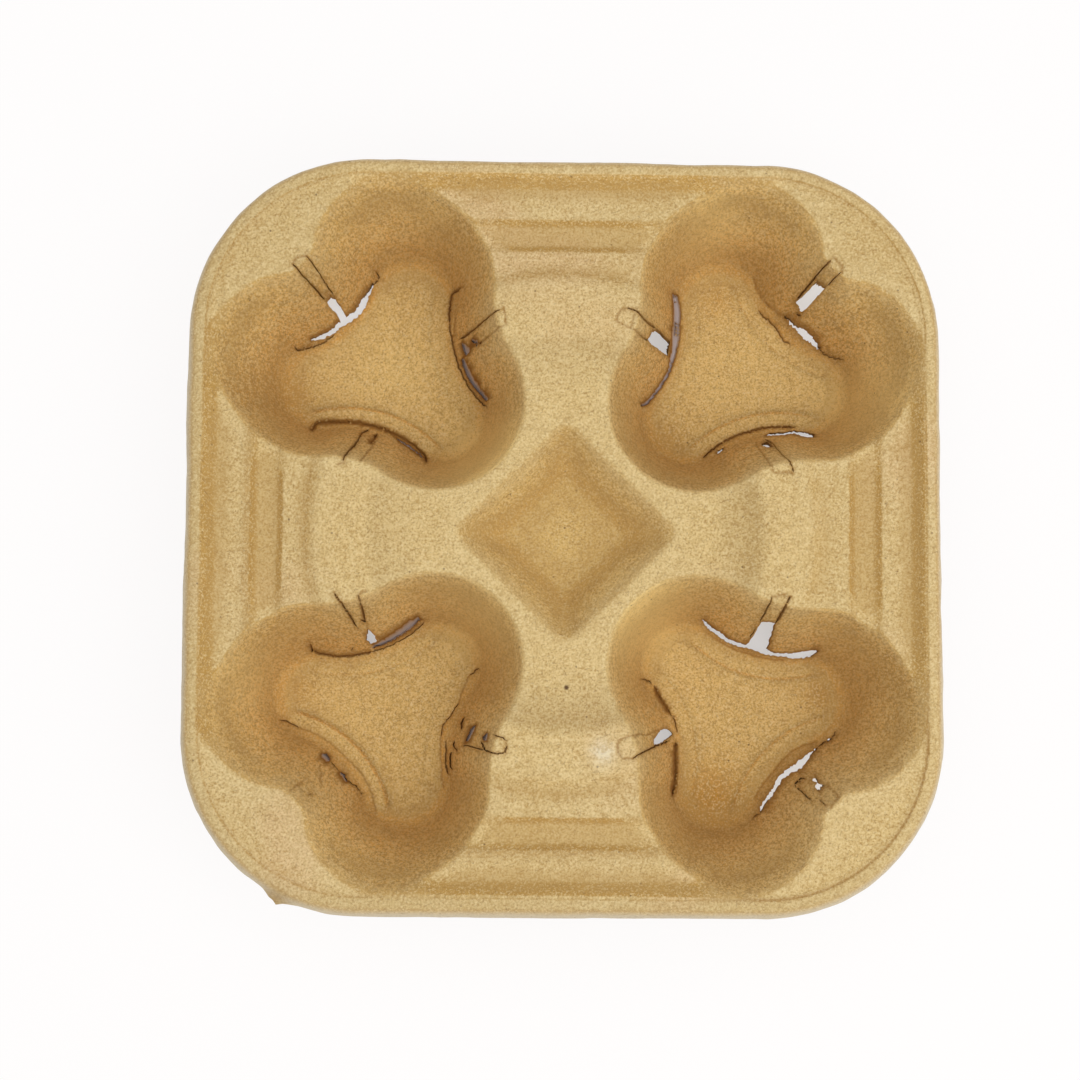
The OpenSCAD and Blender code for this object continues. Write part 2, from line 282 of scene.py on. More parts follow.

# %% [markdown]
# Every flap has a slit along its foot and a narrow stem up its middle. In the mould they are thin
# skins, and in this tray most of them are torn, each in its own way. The slits are what the eye
# looks for first, so every one is drawn on its own, in the flap's two directions: along the slit,
# and up the wall. "flap" is the pocket and the flap in it. "gap" lists places along the slit with
# the lower and upper torn edge, and "open" is the share of that gap that stands open. "dim" lists
# gaps that are pressed in and painted grey, a painted shade for the shadowed table under the gap,
# "holes" are torn windows, "cracks" are lines with a width that end on pulp behind, painted dark
# brown for the torn pulp and darker as painted shade in the deep gap, and "scores" are lines that
# the skin still shows where it isn't torn.

# %% The twelve slits
SLITS = {
    "back_right_right": {
        "flap": (0, 0),
        "open": 0.65,
        "gap": [(3.6, 1.1, 1.4), (5, .4, 1.9), (9.4, .3, 1.7), (11.3, -.4, 1.1),
                (12.7, -.7, .7), (14.7, -1.1, 1.3), (18.1, -1, 1.4)],
        "holes": [[(-.4, 5.2), (.5, 6.5), (2.7, 7.1), (2.9, 5.4), (2.3, 3.9), (.5, 4.4)],
                  [(-12.5, .3), (-12, 1.1), (-10.2, 1), (-9.6, .4)]],
        "cracks": [(.55, [(-16.2, -.7), (-14, -.9), (-8, -1), (0, -.9), (6, -1.1), (12, -1.2)]),
                   (.5, [(2.8, 3.3), (3.4, 5), (3.3, 9), (3.7, 12), (5.5, 15)]),
                   (.9, [(5.5, 15), (6, 16.6)])],
        "scores": [[(-1.4, 4), (-2.5, 8), (-4, 12), (-5, 15.3), (-2, 16), (2, 16.3), (5.4, 16.7)]],
    },
    "back_right_corner": {
        "flap": (0, 1),
        "gap": [(-13.7, .8, 1), (-11.3, 1.2, 2.5), (-8.7, 1.5, 3.1), (-5.3, 1.8, 3.5),
                (-2.7, 2, 2.8), (0, 2.2, 2.9), (2.4, 2.3, 2.5)],
        "holes": [[(-2.5, 11), (2, 10.8), (2.1, 8.3), (2.8, 5.3), (-1.7, 5), (-2, 7.7)]],
        "cracks": [(.3, [(-13.7, .8), (-17, .1), (-20, -.6)]),
                   (.45, [(-4.6, -1.2), (-3, -1.7), (-.5, -.9), (2, -.5), (4.5, -.6), (5, -1), (8, -1.5)]),
                   (.5, [(-2.5, 11), (-2.7, 12.5), (-3.8, 15)]),
                   (.6, [(2.9, 6), (3.1, 8), (4.2, 12), (4.6, 15)]),
                   (.7, [(-1.8, 4.4), (-.2, 4.3)])],
        "scores": [[(-3.8, 15), (-2, 16.2), (2.3, 16.3), (5, 16.2)],
                   [(2.4, 2.4), (6, 1.4), (10, .6), (17, 0)]],
    },
    "back_right_back": {
        "flap": (0, 2),
        "dim": [[(-18, -1, 1.1), (-14, -1, 1.3), (-10, -.5, 1.9), (-6.3, -.4, 2.4), (-3.2, 0, 1.9),
                 (-1, .1, 1.6), (2, .1, 1.4), (5.4, -.1, .7), (12, 0, .9), (16.7, -.2, .7), (18.8, .3, .9)]],
        "holes": [[(-3.1, 2.6), (-3.1, 7.7), (-2, 8.7), (3, 9.3), (3.5, 8.7), (2.4, 5.3), (1.6, 2.3)]],
        "cracks": [(.6, [(-3.2, 8), (-2.6, 11), (-2.7, 13), (-4.6, 15), (-5.9, 17.2)]),
                   (.5, [(3.3, 9.2), (4.9, 11.8)])],
        "scores": [[(4.9, 11.8), (5.1, 16), (4.7, 19.2), (0, 19.6), (-4.5, 18.8), (-5.9, 17.2)],
                   [(-2.4, 15.2), (4.9, 15)]],
    },
    "back_left_back": {
        "flap": (1, 0),
        "dim": [[(-18, .9, 1.6), (-15, 1, 2.2), (-10, 1, 2.4), (-6, 1.2, 2.5), (-3, 1.5, 2.4)],
                [(-2.8, 3, 4.4), (-1.6, 2.7, 4.6), (.3, 2.8, 3.9), (1.5, 2.8, 3.2)],
                [(-2.5, 6.6, 7.3), (-1.4, 5.9, 7.4), (.2, 5.7, 6.2)]],
        "cracks": [(.5, [(-19, -.1), (-14, 0), (-8.7, .2), (-4.7, .4), (0, .5), (4.7, .3), (9.3, -.2)]),
                   (.75, [(9.3, -.2), (14, -.7), (17.6, -1.1), (18.4, 0), (18.8, 1.7)]),
                   (.7, [(2.9, 2.8), (2.8, 6), (3.1, 10), (3.3, 12.5), (4.3, 14.8)]),
                   (1, [(-3.5, 8.2), (-2.9, 7.4)])],
        "scores": [[(-4, 15.2), (1, 15.9), (6, 15.6)], [(5, 1.2), (10.5, 1.4)], [(-3.4, 8.4), (-4.2, 14.6)]],
    },
    "back_left_corner": {
        "flap": (1, 1),
        "gap": [(-14.3, .2, .9), (-10.7, .2, 1.4), (-8.3, -.2, 1.9), (-5, -.5, 1.5), (-2.7, -.1, 1.9),
                (0, .3, 2.5), (1.3, .7, 2.3), (5, .7, 2), (8.5, .8, 2.1), (12.2, 1.4, 2.2)],
        "holes": [[(-1.2, 1.8), (-1.7, 4), (-2.1, 5.7), (-1, 6.5), (1, 6.5), (1.5, 5.3), (1, 3.7),
                   (1.2, 1.8)]],
        "cracks": [(.45, [(-2.1, 6.3), (-2.6, 9), (-3.5, 12), (-4.2, 14.7)]),
                   (.55, [(1.3, 6.6), (2.2, 10), (3.5, 13), (4.3, 15.7)]),
                   (.5, [(-17.6, .7), (-16.8, -.5), (-14.2, .3)]),
                   (.35, [(5, .3), (9, .2), (13, .2), (16.5, .3), (17.6, .9)])],
        "scores": [[(-4.2, 14.7), (0, 16.4), (4.3, 15.7)]],
    },
    "back_left_left": {
        "flap": (1, 2),
        "dim": [[(6, -.3, .2), (8, -.3, .6), (12, -.4, .8), (16.6, -.4, .5)]],
        "cracks": [(1.8, [(1, 1.7), (1.1, 3.2), (1.3, 4.6), (1.4, 6.1)]),
                   (.95, [(-18.6, .3), (-18, -1.3), (-16.3, -2.1), (-11.3, -1.3), (-6, -1.1), (0, -.9),
                          (6, -.8), (12, -.8), (16.4, -.7), (18.6, .6)]),
                   (.6, [(-2, .5), (-3.3, 2.7), (-3, 6), (-3.6, 9.3), (-4, 12.3), (-4.8, 14.7)])],
        "scores": [[(-7.5, 15.6), (-4.5, 15.2)], [(2.4, 5), (3, 9), (3.6, 13)]],
    },
    "front_left_left": {
        "flap": (2, 0),
        "dim": [[(-17.6, 1, 2), (-14, 1, 3), (-10.5, 1.1, 2.9), (-6.5, 1, 2.7),
                 (-3.6, 1.1, 2.4), (-1.4, 1.2, 1.9)]],
        "holes": [[(-2.4, 2.5), (-2.8, 3.8), (-2.4, 5.3), (-1.4, 5.9), (-.4, 5), (.2, 3.7), (-.4, 2.4)]],
        "cracks": [(.45, [(-18, -.2), (-12, 0), (-6.7, .2), (0, .3)]),
                   (.9, [(0, .3), (4.7, .3), (10, 0), (17.3, 0), (18.2, 1.7)]),
                   (.7, [(-.8, 8.5), (-1.9, 8.1), (-2.7, 10), (-3.7, 12.3)]),
                   (.35, [(-3.7, 12.3), (-4.3, 14.4)]),
                   (.55, [(1.6, 7), (2.7, 10), (4.7, 13.3), (8, 16)]),
                   (.4, [(4.9, 2.4), (5.7, 1.3)])],
        "scores": [[(-8.5, 14.3), (-6.2, 14.8), (-4.3, 14.4)]],
    },
    "front_left_corner": {
        "flap": (2, 1),
        "dim": [[(-5.3, 2.1, 2.5), (-4.4, 1.4, 3.1), (-2.8, 1.7, 3.3), (-1.9, 2.4, 2.8)],
                [(2.6, 2.4, 2.8), (4, 1.9, 3.1), (5.6, 2, 2.9), (6.6, 2.2, 2.6)]],
        "cracks": [(.35, [(6, 2.3), (8.7, 1.3), (11, .8)]), (.7, [(11, .8), (11.8, .6)]),
                   (.4, [(-20, -2.5), (-17.3, -1.7), (-15.3, -1.3)]),
                   (.6, [(2.7, 11.1), (3.3, 10.3)]), (.3, [(-1.9, 2.6), (.4, 2.4), (2.6, 2.6)])],
        "scores": [[(-15.3, -1.3), (-8, -1.4), (0, -1.1), (6, -1.8), (12, -2), (18, -1.6)],
                   [(-3, 4.9), (-.2, 6.3), (.6, 7), (3, 7.6)], [(-3.2, 9.6), (-3.8, 13.5)]],
    },
    "front_left_front": {
        "flap": (2, 2),
        "dim": [[(-2, 5.5, 5.9), (0, 5.7, 6.7), (3.4, 6, 7.2), (5, 6.6, 7)],
                [(1.2, 10.4, 11.4), (2, 9.9, 11.3), (4.4, 10.7, 11.1)]],
        "cracks": [(.6, [(2, 3.6), (3.4, 2.9), (5.7, 2.8)]),
                   (.4, [(-1.6, -2), (1.4, -2.1), (4.4, -1), (8.7, -.7)]),
                   (.5, [(16.2, -3.2), (19.7, -2.9)]),
                   (.5, [(-11, 1.9), (-8.5, 1.5), (-6, 1.8)]),
                   (.4, [(-3, 4.8), (-2.7, 7.5), (-2.9, 12), (-3.3, 14), (-3.2, 15.3), (-2, 16.8),
                         (1.5, 17.2)]),
                   (.4, [(5, 16.4), (5.8, 15.2), (5, 12.7)]),
                   (.5, [(-3, 11.9), (-1.5, 11), (.3, 10.1)]), (.5, [(-5, 3.6), (-4, 2.4), (-2.2, 2.2)]),
                   (.5, [(-3.4, -.1), (-6, .3), (-9, .2), (-12.4, .6)])],
        "scores": [[(1.5, 17.2), (5, 16.4)], [(-16, -1.4), (-10, -1), (-1.6, -2)],
                   [(8.7, -.7), (16.2, -3.2)]],
    },
    "front_right_front": {
        "flap": (3, 0),
        "holes": [[(-2.4, 4.2), (-2.2, 2.2), (-.9, .8), (.2, .8), (1, 2.8), (1.7, 5.8), (1.5, 7.8),
                   (-.3, 7.3), (-1.5, 5.8)]],
        "cracks": [(1.2, [(2.7, .2), (6, .7), (10, .6), (15.3, .3), (18, .2)]),
                   (.5, [(-18.3, -.3), (-16, -1.5)]),
                   (.95, [(-14.3, -1.2), (-12, -.7), (-5.7, -.7)]),
                   (.35, [(-4.7, -1.3), (0, -1)]),
                   (.6, [(1.6, 2.7), (2.1, 7.3), (2.8, 11), (3.7, 13.7), (5.3, 15)])],
        "scores": [[(-3, 5), (-3, 9), (-5.3, 12), (-6.7, 15), (-7, 17.2), (-4.7, 18.2),
                    (0, 18.7), (4.7, 17.7), (5.3, 15)]],
    },
    "front_right_corner": {
        "flap": (3, 1),
        "open": 0.65,
        "gap": [(-15.9, 1.7, 2.2), (-13.3, 1.2, 2.7), (-10, 1.7, 3.5), (-6.7, 1.8, 3.7), (-3.3, 1.5, 3.5),
                (-.4, 1.8, 4), (2.7, 2.1, 4.7), (5.3, 2, 4.5), (8, 2, 3.5), (10.4, 1.8, 2.6),
                (11.9, 1.7, 1.9)],
        "holes": [[(0, 10), (3.9, 9.8), (2.9, 8.9), (4.3, 7.2), (2, 7.5), (2.4, 8.3), (1, 8.5)],
                  [(15, 1.5), (16.3, 1.2), (16.8, .7), (15.3, .8)]],
        "cracks": [(.3, [(11.9, 1.8), (15, 1.3)]), (.3, [(16.7, .8), (18, -.3)]),
                   (.3, [(-15.9, 1.8), (-18, .3)]),
                   (.35, [(-4.7, 10), (-3.7, 7.5), (-3, 5.5)]), (.35, [(-3.3, 12.7), (-2.3, 11.3)]),
                   (.5, [(-3, 5.5), (0, 5.8), (1, 6.3)])],
        "scores": [[(4, 10), (4.4, 13.2), (-3, 14)], [(-12, -.6), (-4, .2), (4, -.5), (12, .2)]],
    },
    "front_right_right": {
        "flap": (3, 2),
        "open": 0.6,
        "gap": [(-19, .4, 1.1), (-17.4, -1, 2.3), (-14.6, -.7, 2.5), (-11.3, -.2, 2.4), (-9.3, .8, 2.2),
                (-6.3, .8, 2.4), (-4.5, .9, 2.9), (-2, 1, 3), (1.4, 1.6, 3), (4.2, 1, 2.8), (8, .5, 2.3),
                (12, .3, 2.3), (15.6, .1, 2.1), (18.4, .5, 1.1)],
        "holes": [[(-4.2, 1.9), (-3.1, 5), (-2.5, 8.2), (-1.9, 9.4), (3.1, 8.8), (3.3, 7.5),
                   (2.8, 5), (3.1, 2)]],
        "cracks": [(.85, [(-2.2, 9.6), (-2.5, 12), (-2.9, 14.3)]), (.6, [(-2.9, 14.3), (-4.1, 16)]),
                   (.4, [(3.7, 8.4), (4.4, 12), (5.3, 14.7)]), (.3, [(3.8, 7), (3.5, 4)])],
        "scores": [[(-4.1, 16), (0, 16.6), (5.3, 14.7)], [(-9, 0), (0, .2), (14, -.4)]],
    },
}
print(len(SLITS), "slits,", sum(len(s.get("holes", [])) for s in SLITS.values()), "torn windows")

# %% [markdown]
# Torn pulp never follows a straight line: the tear runs from fibre to fibre. Each outline is cut
# into short steps and every step is pushed a little to one side. The pushes come from a seeded
# random generator, so that the tray is the same each time the script runs.

# %% Lines on a flap
chance = np.random.default_rng(41)
STEP, RAGGED = 0.5, 0.11


def flap_place(flap, points):
    """Plan places of points given along and up a flap."""
    quarter, third = flap
    turn = math.radians(90 * quarter)
    bearing = math.radians(LOBE_ANGLE + 60 + 120 * third) + turn
    axis = PITCH_HALF * np.array([math.cos(turn) - math.sin(turn), math.sin(turn) + math.cos(turn)])
    centre = axis + FLAP_REACH * np.array([math.cos(bearing), math.sin(bearing)])
    along, up = np.array(points, float).T
    angle = bearing + math.pi - along / FLAP_FLOOR_R
    return centre + (FLAP_FLOOR_R - up)[:, None] * np.stack([np.cos(angle), np.sin(angle)], 1)


def in_steps(line, closed):
    """The line cut into steps of about half a millimetre."""
    line = np.array(line, float)
    ends = np.roll(line, -1, 0) if closed else line[1:]
    parts = []
    for start, end in zip(line, ends):
        count = max(1, int(round(np.hypot(*(end - start)) / STEP)))
        parts.append(start + (end - start) * np.arange(count)[:, None] / count)
    return np.concatenate(parts if closed else parts + [line[-1:]])


def ragged(line, closed):
    line = in_steps(line, closed)
    return line + chance.normal(0, RAGGED, line.shape)


def aside_of(line):
    """One millimetre to the left of a line's way, at each of its points."""
    way = np.gradient(line, axis=0)
    return np.stack([-way[:, 1], way[:, 0]], 1) / np.maximum(np.hypot(*way.T), 1e-6)[:, None]


print("torn lines have steps of", STEP, "mm")

# %% [markdown]
# A window is a closed outline. A crack gets a thin outline of its own, wider and narrower by chance,
# and a line down its middle that is pressed in later. A dim gap gets two such lines, which make the
# floor of the pressed gap. Cracks are sorted by their width, because wide ones look darker.

# %% Torn outlines in plan
CRACK_WIDER, FINE_CRACK, BROAD_CRACK = 1.3, 0.52, 0.94
CRACK_END, THIN_END, THINNER, THICKER = 2, 0.2, 0.75, 1.25
DIM_PARTS = (0.32, 0.68)


def ribbon(width, line):
    """A thin outline round a crack, which runs out to a point at both ends."""
    line = ragged(line, False)
    ends = np.minimum(np.arange(len(line)), np.arange(len(line))[::-1])
    taper = np.clip((ends + 0.4) / CRACK_END, THIN_END, 1)
    half = CRACK_WIDER * width / 2 * taper * chance.uniform(THINNER, THICKER, len(line))
    side = aside_of(line) * half[:, None]
    return np.concatenate([line + side, (line - side)[::-1]]), line


def band(rows, share):
    """The outline of a gap from its two torn edges, drawn together to that share."""
    lower = [(s, a + (b - a) * (1 - share) / 2) for s, a, b in rows]
    upper = [(s, b - (b - a) * (1 - share) / 2) for s, a, b in rows]
    return ragged(lower + upper[::-1], True)


holes, dims, dim_lines, scores, cracks = [], [], [], [], []
fine_lines, wide_lines, broad_lines = [], [], []
for slit in SLITS.values():
    flap = slit["flap"]
    if "gap" in slit:
        holes.append(flap_place(flap, band(slit["gap"], slit.get("open", 1))))
    holes += [flap_place(flap, ragged(hole, True)) for hole in slit.get("holes", [])]
    for rows in slit.get("dim", []):
        dims.append(flap_place(flap, band(rows, 1)))
        for part in DIM_PARTS:
            inner = [(s, a + (b - a) * part) for s, a, b in rows]
            dim_lines.append(flap_place(flap, in_steps(inner, False)))
    for width, line in slit.get("cracks", []):
        outline, middle = ribbon(width, line)
        cracks.append(flap_place(flap, outline))
        (fine_lines if width < FINE_CRACK else wide_lines).append(flap_place(flap, middle))
        if width > BROAD_CRACK:
            broad_lines.append(flap_place(flap, middle))
    scores += [flap_place(flap, ragged(score, False)) for score in slit.get("scores", [])]
print(len(holes), "torn windows,", len(dims), "dim gaps,", len(cracks), "cracks,", len(scores), "scores")

# %% [markdown]
# A relief like this could be sculpted on a dense grid, but a grid spends most of its faces on the
# flat parts and cuts every curve into stairs. Here the plan points are set out along the shapes
# themselves: rings round the rim, rings round each pocket from its floor to its lip, and an even
# spread elsewhere. A Delaunay triangulation then joins them, and keeps the torn outlines as edges.

# %% Rings of points
RIM_RINGS = [0, .25, .5, .8, 1.1, 1.5, 2, 2.6, 3.3, 4.1, 4.7, 5, 5.3, 5.6, 5.85, 6.1, 6.35, 6.6,
             7, 7.6, 8.4]
WALL_RINGS = [-6.7, -6.2, -5.8, -5.4, -5, -4.6, -4.1, -3.2, -2.4, -1.6, -.8, 0, .8, 1.5, 2.6, 4.2, 6,
              7.8, 9.4, 10.4, 11.1, 11.7, 12.3, 12.9, 13.5, 14.1, 14.8, 15.6, 16.6, 17.6]
RIM_STEPS, WALL_STEPS, LOBE_STEPS = 112, 70, 46
SIXTH = math.pi / 3


def quarter_turns(places):
    turns = ((1, 0), (0, 1), (-1, 0), (0, -1))
    return np.concatenate([places @ np.array([[c, s], [-s, c]]) for c, s in turns])


def arc(bearing, reach, radius, angles):
    """Points on an arc whose centre lies that far out along a bearing."""
    centre = reach * np.array([[math.cos(bearing), math.sin(bearing)]])
    return centre + radius * np.stack([np.cos(angles), np.sin(angles)], 1)


def rim_ring(inset):
    radius, straight = CORNER_R - inset, HALF - CORNER_R
    angle = np.linspace(0, math.pi / 2, RIM_STEPS // 2, endpoint=False)
    corner = np.stack([straight + radius * np.cos(angle), straight + radius * np.sin(angle)], 1)
    along = np.linspace(straight, -straight, RIM_STEPS // 2 + 1)[:-1]
    return quarter_turns(np.concatenate([corner, np.stack([along, np.full_like(along, HALF - inset)], 1)]))


def pocket_ring(out):
    """A ring round the back right pocket, a distance out from the foot of its wall."""
    lobe_r = LOBE_FLOOR_R + out
    flap_r = FLAP_FLOOR_R - FLAP_TAPER * out / LOBE_RUN
    reach = LOBE_REACH / 2 + math.sqrt((lobe_r + flap_r) ** 2 - (LOBE_REACH * math.sin(SIXTH)) ** 2)
    meet = math.atan2(reach * math.sin(SIXTH), reach / 2 - LOBE_REACH)
    over_lobe = meet * np.linspace(-1, 1, LOBE_STEPS, endpoint=False)
    over_flap = (meet - SIXTH) * np.linspace(1, -1, WALL_STEPS - LOBE_STEPS, endpoint=False)
    ring = []
    for third in range(3):
        lobe_a = math.radians(LOBE_ANGLE + 120 * third)
        flap_a = lobe_a + SIXTH
        ring.append(arc(lobe_a, LOBE_REACH, lobe_r, lobe_a + over_lobe))
        ring.append(arc(flap_a, reach, flap_r, flap_a + math.pi + over_flap))
    return np.concatenate(ring) + PITCH_HALF


points = [rim_ring(inset) for inset in RIM_RINGS]
points.append(quarter_turns(np.concatenate([pocket_ring(out) for out in WALL_RINGS])))
print(len(RIM_RINGS), "rings round the rim,", len(WALL_RINGS), "round each pocket")

# %% [markdown]
# The steps of the deck are straight beside the troughs, round at the ring and the dish, and square
# at the well. Each gets a few rows of points, closer together where the step bends, so that the
# triangles turn with it.

# %% Lines and spreads of points
SIDE_LINES = [95.4, 94.5, 93.6, 87.1, 86.7, 86.3, 85.8, 85.2, 84.4, 79.8, 79.1, 78.5, 78.1, 77.7, 77.3]
ROUND_LINES = [72.4, 71.7, 71, 69.8, 68.6, 67.9, 67.2, 57.8, 57, 56, 54, 51.5, 49, 47, 46, 45.2]
WELL_LINES = [10.8, 11.8, 12.6, 13.4, 14.4, 16, 18, 20, 21, 21.6, 22.1, 22.6, 23.2]
DECK_STEP, FLOOR_STEP, LINE_STEP = 1.4, 1.6, 1.3
WELL_STEP = 0.8 * LINE_STEP
LINE_MARGIN, DECK_MARGIN, FLOOR_MARGIN = 0.45, 0.6, 0.8


def spread(step):
    """An even spread of points over the tray, every other row moved by half a step."""
    count = int(2 * HALF / step)
    rows, columns = np.meshgrid(np.arange(count), np.arange(count), indexing="ij")
    x = (columns + 0.25 + 0.5 * (rows % 2)) * step - HALF
    y = (rows + 0.5) * step - HALF
    return np.stack([x.ravel(), y.ravel()], 1)


def on_deck(places, margin):
    """Places clear of the rim's rings and of the pockets' rings."""
    run = even_share(*places.T) * LOBE_RUN
    return places[(edge_gap(*places.T) > RIM_RINGS[-1] + margin) & (run > WALL_RINGS[-1] + margin)]


along = np.arange(-TROUGH_HALF, TROUGH_HALF, LINE_STEP)
lines = [np.stack([along, np.full_like(along, far)], 1) for far in SIDE_LINES]
angle = np.linspace(0, math.pi / 2, int(RING_R * math.pi / 2 / LINE_STEP), endpoint=False)
lines += [radius * np.stack([np.cos(angle), np.sin(angle)], 1) for radius in ROUND_LINES]
for half in WELL_LINES:
    side = np.arange(-half, half, WELL_STEP)
    lines.append(np.stack([half - side, half + side], 1) / math.sqrt(2))
line_points = on_deck(quarter_turns(np.concatenate(lines)), LINE_MARGIN)
deck_points = on_deck(spread(DECK_STEP), DECK_MARGIN)
floor_points = spread(FLOOR_STEP)
floor_points = floor_points[even_share(*floor_points.T) * LOBE_RUN < WALL_RINGS[0] - FLOOR_MARGIN]
print(len(line_points), "points along the steps of the deck,", len(deck_points), "between them")

# %% [markdown]
# Points that lie right beside a torn edge would make slivers, so they are dropped first. A scored
# line gets a row of points on each side, so that it can be pressed in as a real groove.

# %% Join the points
CLEAR, HOLE_CLEAR, DIM_CLEAR, LINE_CLEAR = 0.34, 0.15, 0.2, 0.62
SCORE_HALF = 0.55


def nearest(anchors, places):
    """Distance from each place to the nearest of the anchors."""
    tree = kdtree.KDTree(len(anchors))
    for i, (x, y) in enumerate(anchors):
        tree.insert((x, y, 0), i)
    tree.balance()
    return np.array([tree.find((x, y, 0))[2] for x, y in places])


def far_from(candidates, anchors, distance):
    return candidates[nearest(anchors, candidates) > distance]


outlines = holes + cracks + dims
edge_points, hole_points = np.concatenate(outlines), np.concatenate(holes)
wide_points = far_from(np.concatenate(wide_lines), hole_points, HOLE_CLEAR)
middle_points = np.concatenate([far_from(np.concatenate(fine_lines), hole_points, HOLE_CLEAR), wide_points])
dim_points = far_from(np.concatenate(dim_lines), edge_points, DIM_CLEAR)
score_rows = [line + aside_of(line) * side for line in scores for side in (-SCORE_HALF, 0, SCORE_HALF)]
score_points = far_from(np.concatenate(score_rows), edge_points, CLEAR)
anchors = np.concatenate([edge_points, middle_points, dim_points, score_points])
deck_points = far_from(deck_points, line_points, LINE_CLEAR)
points = np.concatenate(points + [line_points, deck_points, floor_points])
points = far_from(points[edge_gap(*points.T) > -1e-6], anchors, CLEAR)
edges, start = [], 0
for outline in outlines:
    count = len(outline)
    edges += [(start + i, start + (i + 1) % count) for i in range(count)]
    start += count
all_points = np.concatenate([anchors, points])
plan, _, faces, _, _, _ = delaunay_2d_cdt([tuple(p) for p in all_points], edges, [], 0, 1e-5)
plan = np.array([tuple(p) for p in plan])
faces = np.array([tuple(f) for f in faces])
print(len(plan), "points joined by", len(faces), "triangles")

# %% [markdown]
# The triangles that lie inside a torn window are taken out. What is left is numbered anew, because
# some points are then no longer used.

# %% Open the slits


def within(polygon, places):
    """Which of the places lie inside a closed outline."""
    found = np.zeros(len(places), bool)
    close = np.all((places > polygon.min(0)) & (places < polygon.max(0)), 1)
    x, y = places[close].T
    hit = np.zeros(len(x), bool)
    for (ax, ay), (bx, by) in zip(polygon, np.roll(polygon, -1, 0)):
        if ay != by:
            crosses = (ay > y) != (by > y)
            hit ^= crosses & (x < ax + (y - ay) * (bx - ax) / (by - ay))
    found[close] = hit
    return found


middles = plan[faces].mean(1)
torn = np.zeros(len(faces), bool)
for outline in holes:
    torn |= within(outline, middles)
faces = faces[~torn]
used = np.unique(faces)
renumber = np.full(len(plan), -1)
renumber[used] = np.arange(len(used))
plan, faces = plan[used], renumber[faces]
print(torn.sum(), "triangles torn out,", len(faces), "left")

# %% [markdown]
# Now each point is lifted to its height. The cracks, the dim gaps and the scored lines are pressed
# in here. On a steep wall they are pressed in further, because the press is straight down and only
# the part across the wall is seen.

# %% Lift the sheet
CRACK_DEPTH, SCORE_DEPTH = 0.8, 0.3
PROBE, MOST_STRETCH, SAME_PLACE = 0.2, 3.2, 0.01
x, y = plan.T
z = tray_height(x, y)
slope_x = (tray_height(x + PROBE, y) - tray_height(x - PROBE, y)) / (2 * PROBE)
slope_y = (tray_height(x, y + PROBE) - tray_height(x, y - PROBE)) / (2 * PROBE)
stretch = np.minimum(np.sqrt(1 + slope_x**2 + slope_y**2), MOST_STRETCH)
on_crack = nearest(middle_points, plan) < SAME_PLACE
on_dim = nearest(dim_points, plan) < SAME_PLACE
scored = part_way(nearest(np.concatenate(scores), plan), SCORE_HALF, 0)
z = z - (CRACK_DEPTH * (on_crack | on_dim) + SCORE_DEPTH * scored) * stretch
print("pressed in at", int((on_crack | on_dim).sum()), "points")

# %% [markdown]
# The looks of the pulp change from place to place, and a painted layer tells the finish where. In
# Blender this could be painted by hand in Vertex Paint. Here each layer is worked out from the
# plan, and kept as one number a point. First come the dark fringes of tears and cracks, and down
# the middle of each crack a darker painted shade for its deep, narrow gap.

# %% Paint the tears and the shade in cracks
HOLE_TINT, HOLE_W, DIM_W = 0.6, 0.5, 0.6
EDGE_TINT, EDGE_W, HALO_TINT, HALO_W = 0.35, 0.5, 0.15, 2.2
FINE_TINT, WIDE_TINT, WIDE_SIDE, BROAD_SIDE = 0.7, 1.0, 0.45, 0.85
WIDE_REACH, BROAD_REACH = 0.9, 1.0
tear_gap = nearest(hole_points, plan)
edge_near = nearest(edge_points, plan)
wide_near = nearest(wide_points, plan)
broad_near = nearest(np.concatenate(broad_lines), plan)
fringes = [HOLE_TINT * part_way(tear_gap, HOLE_W, 0), part_way(nearest(np.concatenate(dims), plan), DIM_W, 0)]
fringes += [EDGE_TINT * part_way(edge_near, EDGE_W, 0), HALO_TINT * part_way(edge_near, HALO_W, 0)]
tear = np.max(fringes, 0)
# Down the middle of a crack the dark is painted shade for the deep gap, darkest in wide cracks.
tear[on_crack] = np.where(wide_near[on_crack] < SAME_PLACE, WIDE_TINT, FINE_TINT)
on_edge = edge_near < SAME_PLACE
tear[on_edge & (wide_near < WIDE_REACH)] = WIDE_SIDE
tear[on_edge & (broad_near < BROAD_REACH)] = BROAD_SIDE
tear[on_dim] = 0
# The dim gaps are painted grey: painted shade for the shadowed table seen through them.
layers = {"tear": tear, "dim": on_dim.astype(float)}
print("torn edge and crack shade on", int((tear > 0).sum()), "points")

# %% [markdown]
# Next come the forms that show another tone: pocket walls, the well, the paler middle of the deck,
# a patch of painted light toward the front right, and the pale lower edge of the skirt, which is
# browner where a shred of pulp hangs on. Along the line inside the rim the colour is darker at the
# corners, most at the front right one.

# %% Paint the forms
CORNER_LINE_W, CORNER_FROM, CORNER_FULL, CORNER_FAINT = 0.45, 104, 112, 0.35
SUNK_FROM, SUNK_FULL = 41, 33
MIDDLE_PALE_FROM, MIDDLE_PALE_FULL, PALE_AT, PALE_R, PALE_ABOVE = 78, 60, (82, -82), 30, 4
SKIRT_FROM, SKIRT_FULL = 2.8, 1.0
SHRED_AT, SHRED_BROWN_R, SHRED_BROWN = np.array([-78.0, -101.0]), 4.0, 0.6
WELL_FROM, WELL_FULL, WELL_REACH, WELL_TINT = 40.5, 37.5, 36, 0.5
LOW_FROM, LOW_FULL = 38, 10


def peak(value, middle, width):
    """1 where the value is the middle one, falling off to nothing over about that width."""
    return np.exp(-(((value - middle) / width) ** 2))


def blot(centre, size):
    """1 at a place of the plan, falling off to nothing over about that size."""
    return np.exp(-np.sum((plan - centre) ** 2, 1) / size**2)


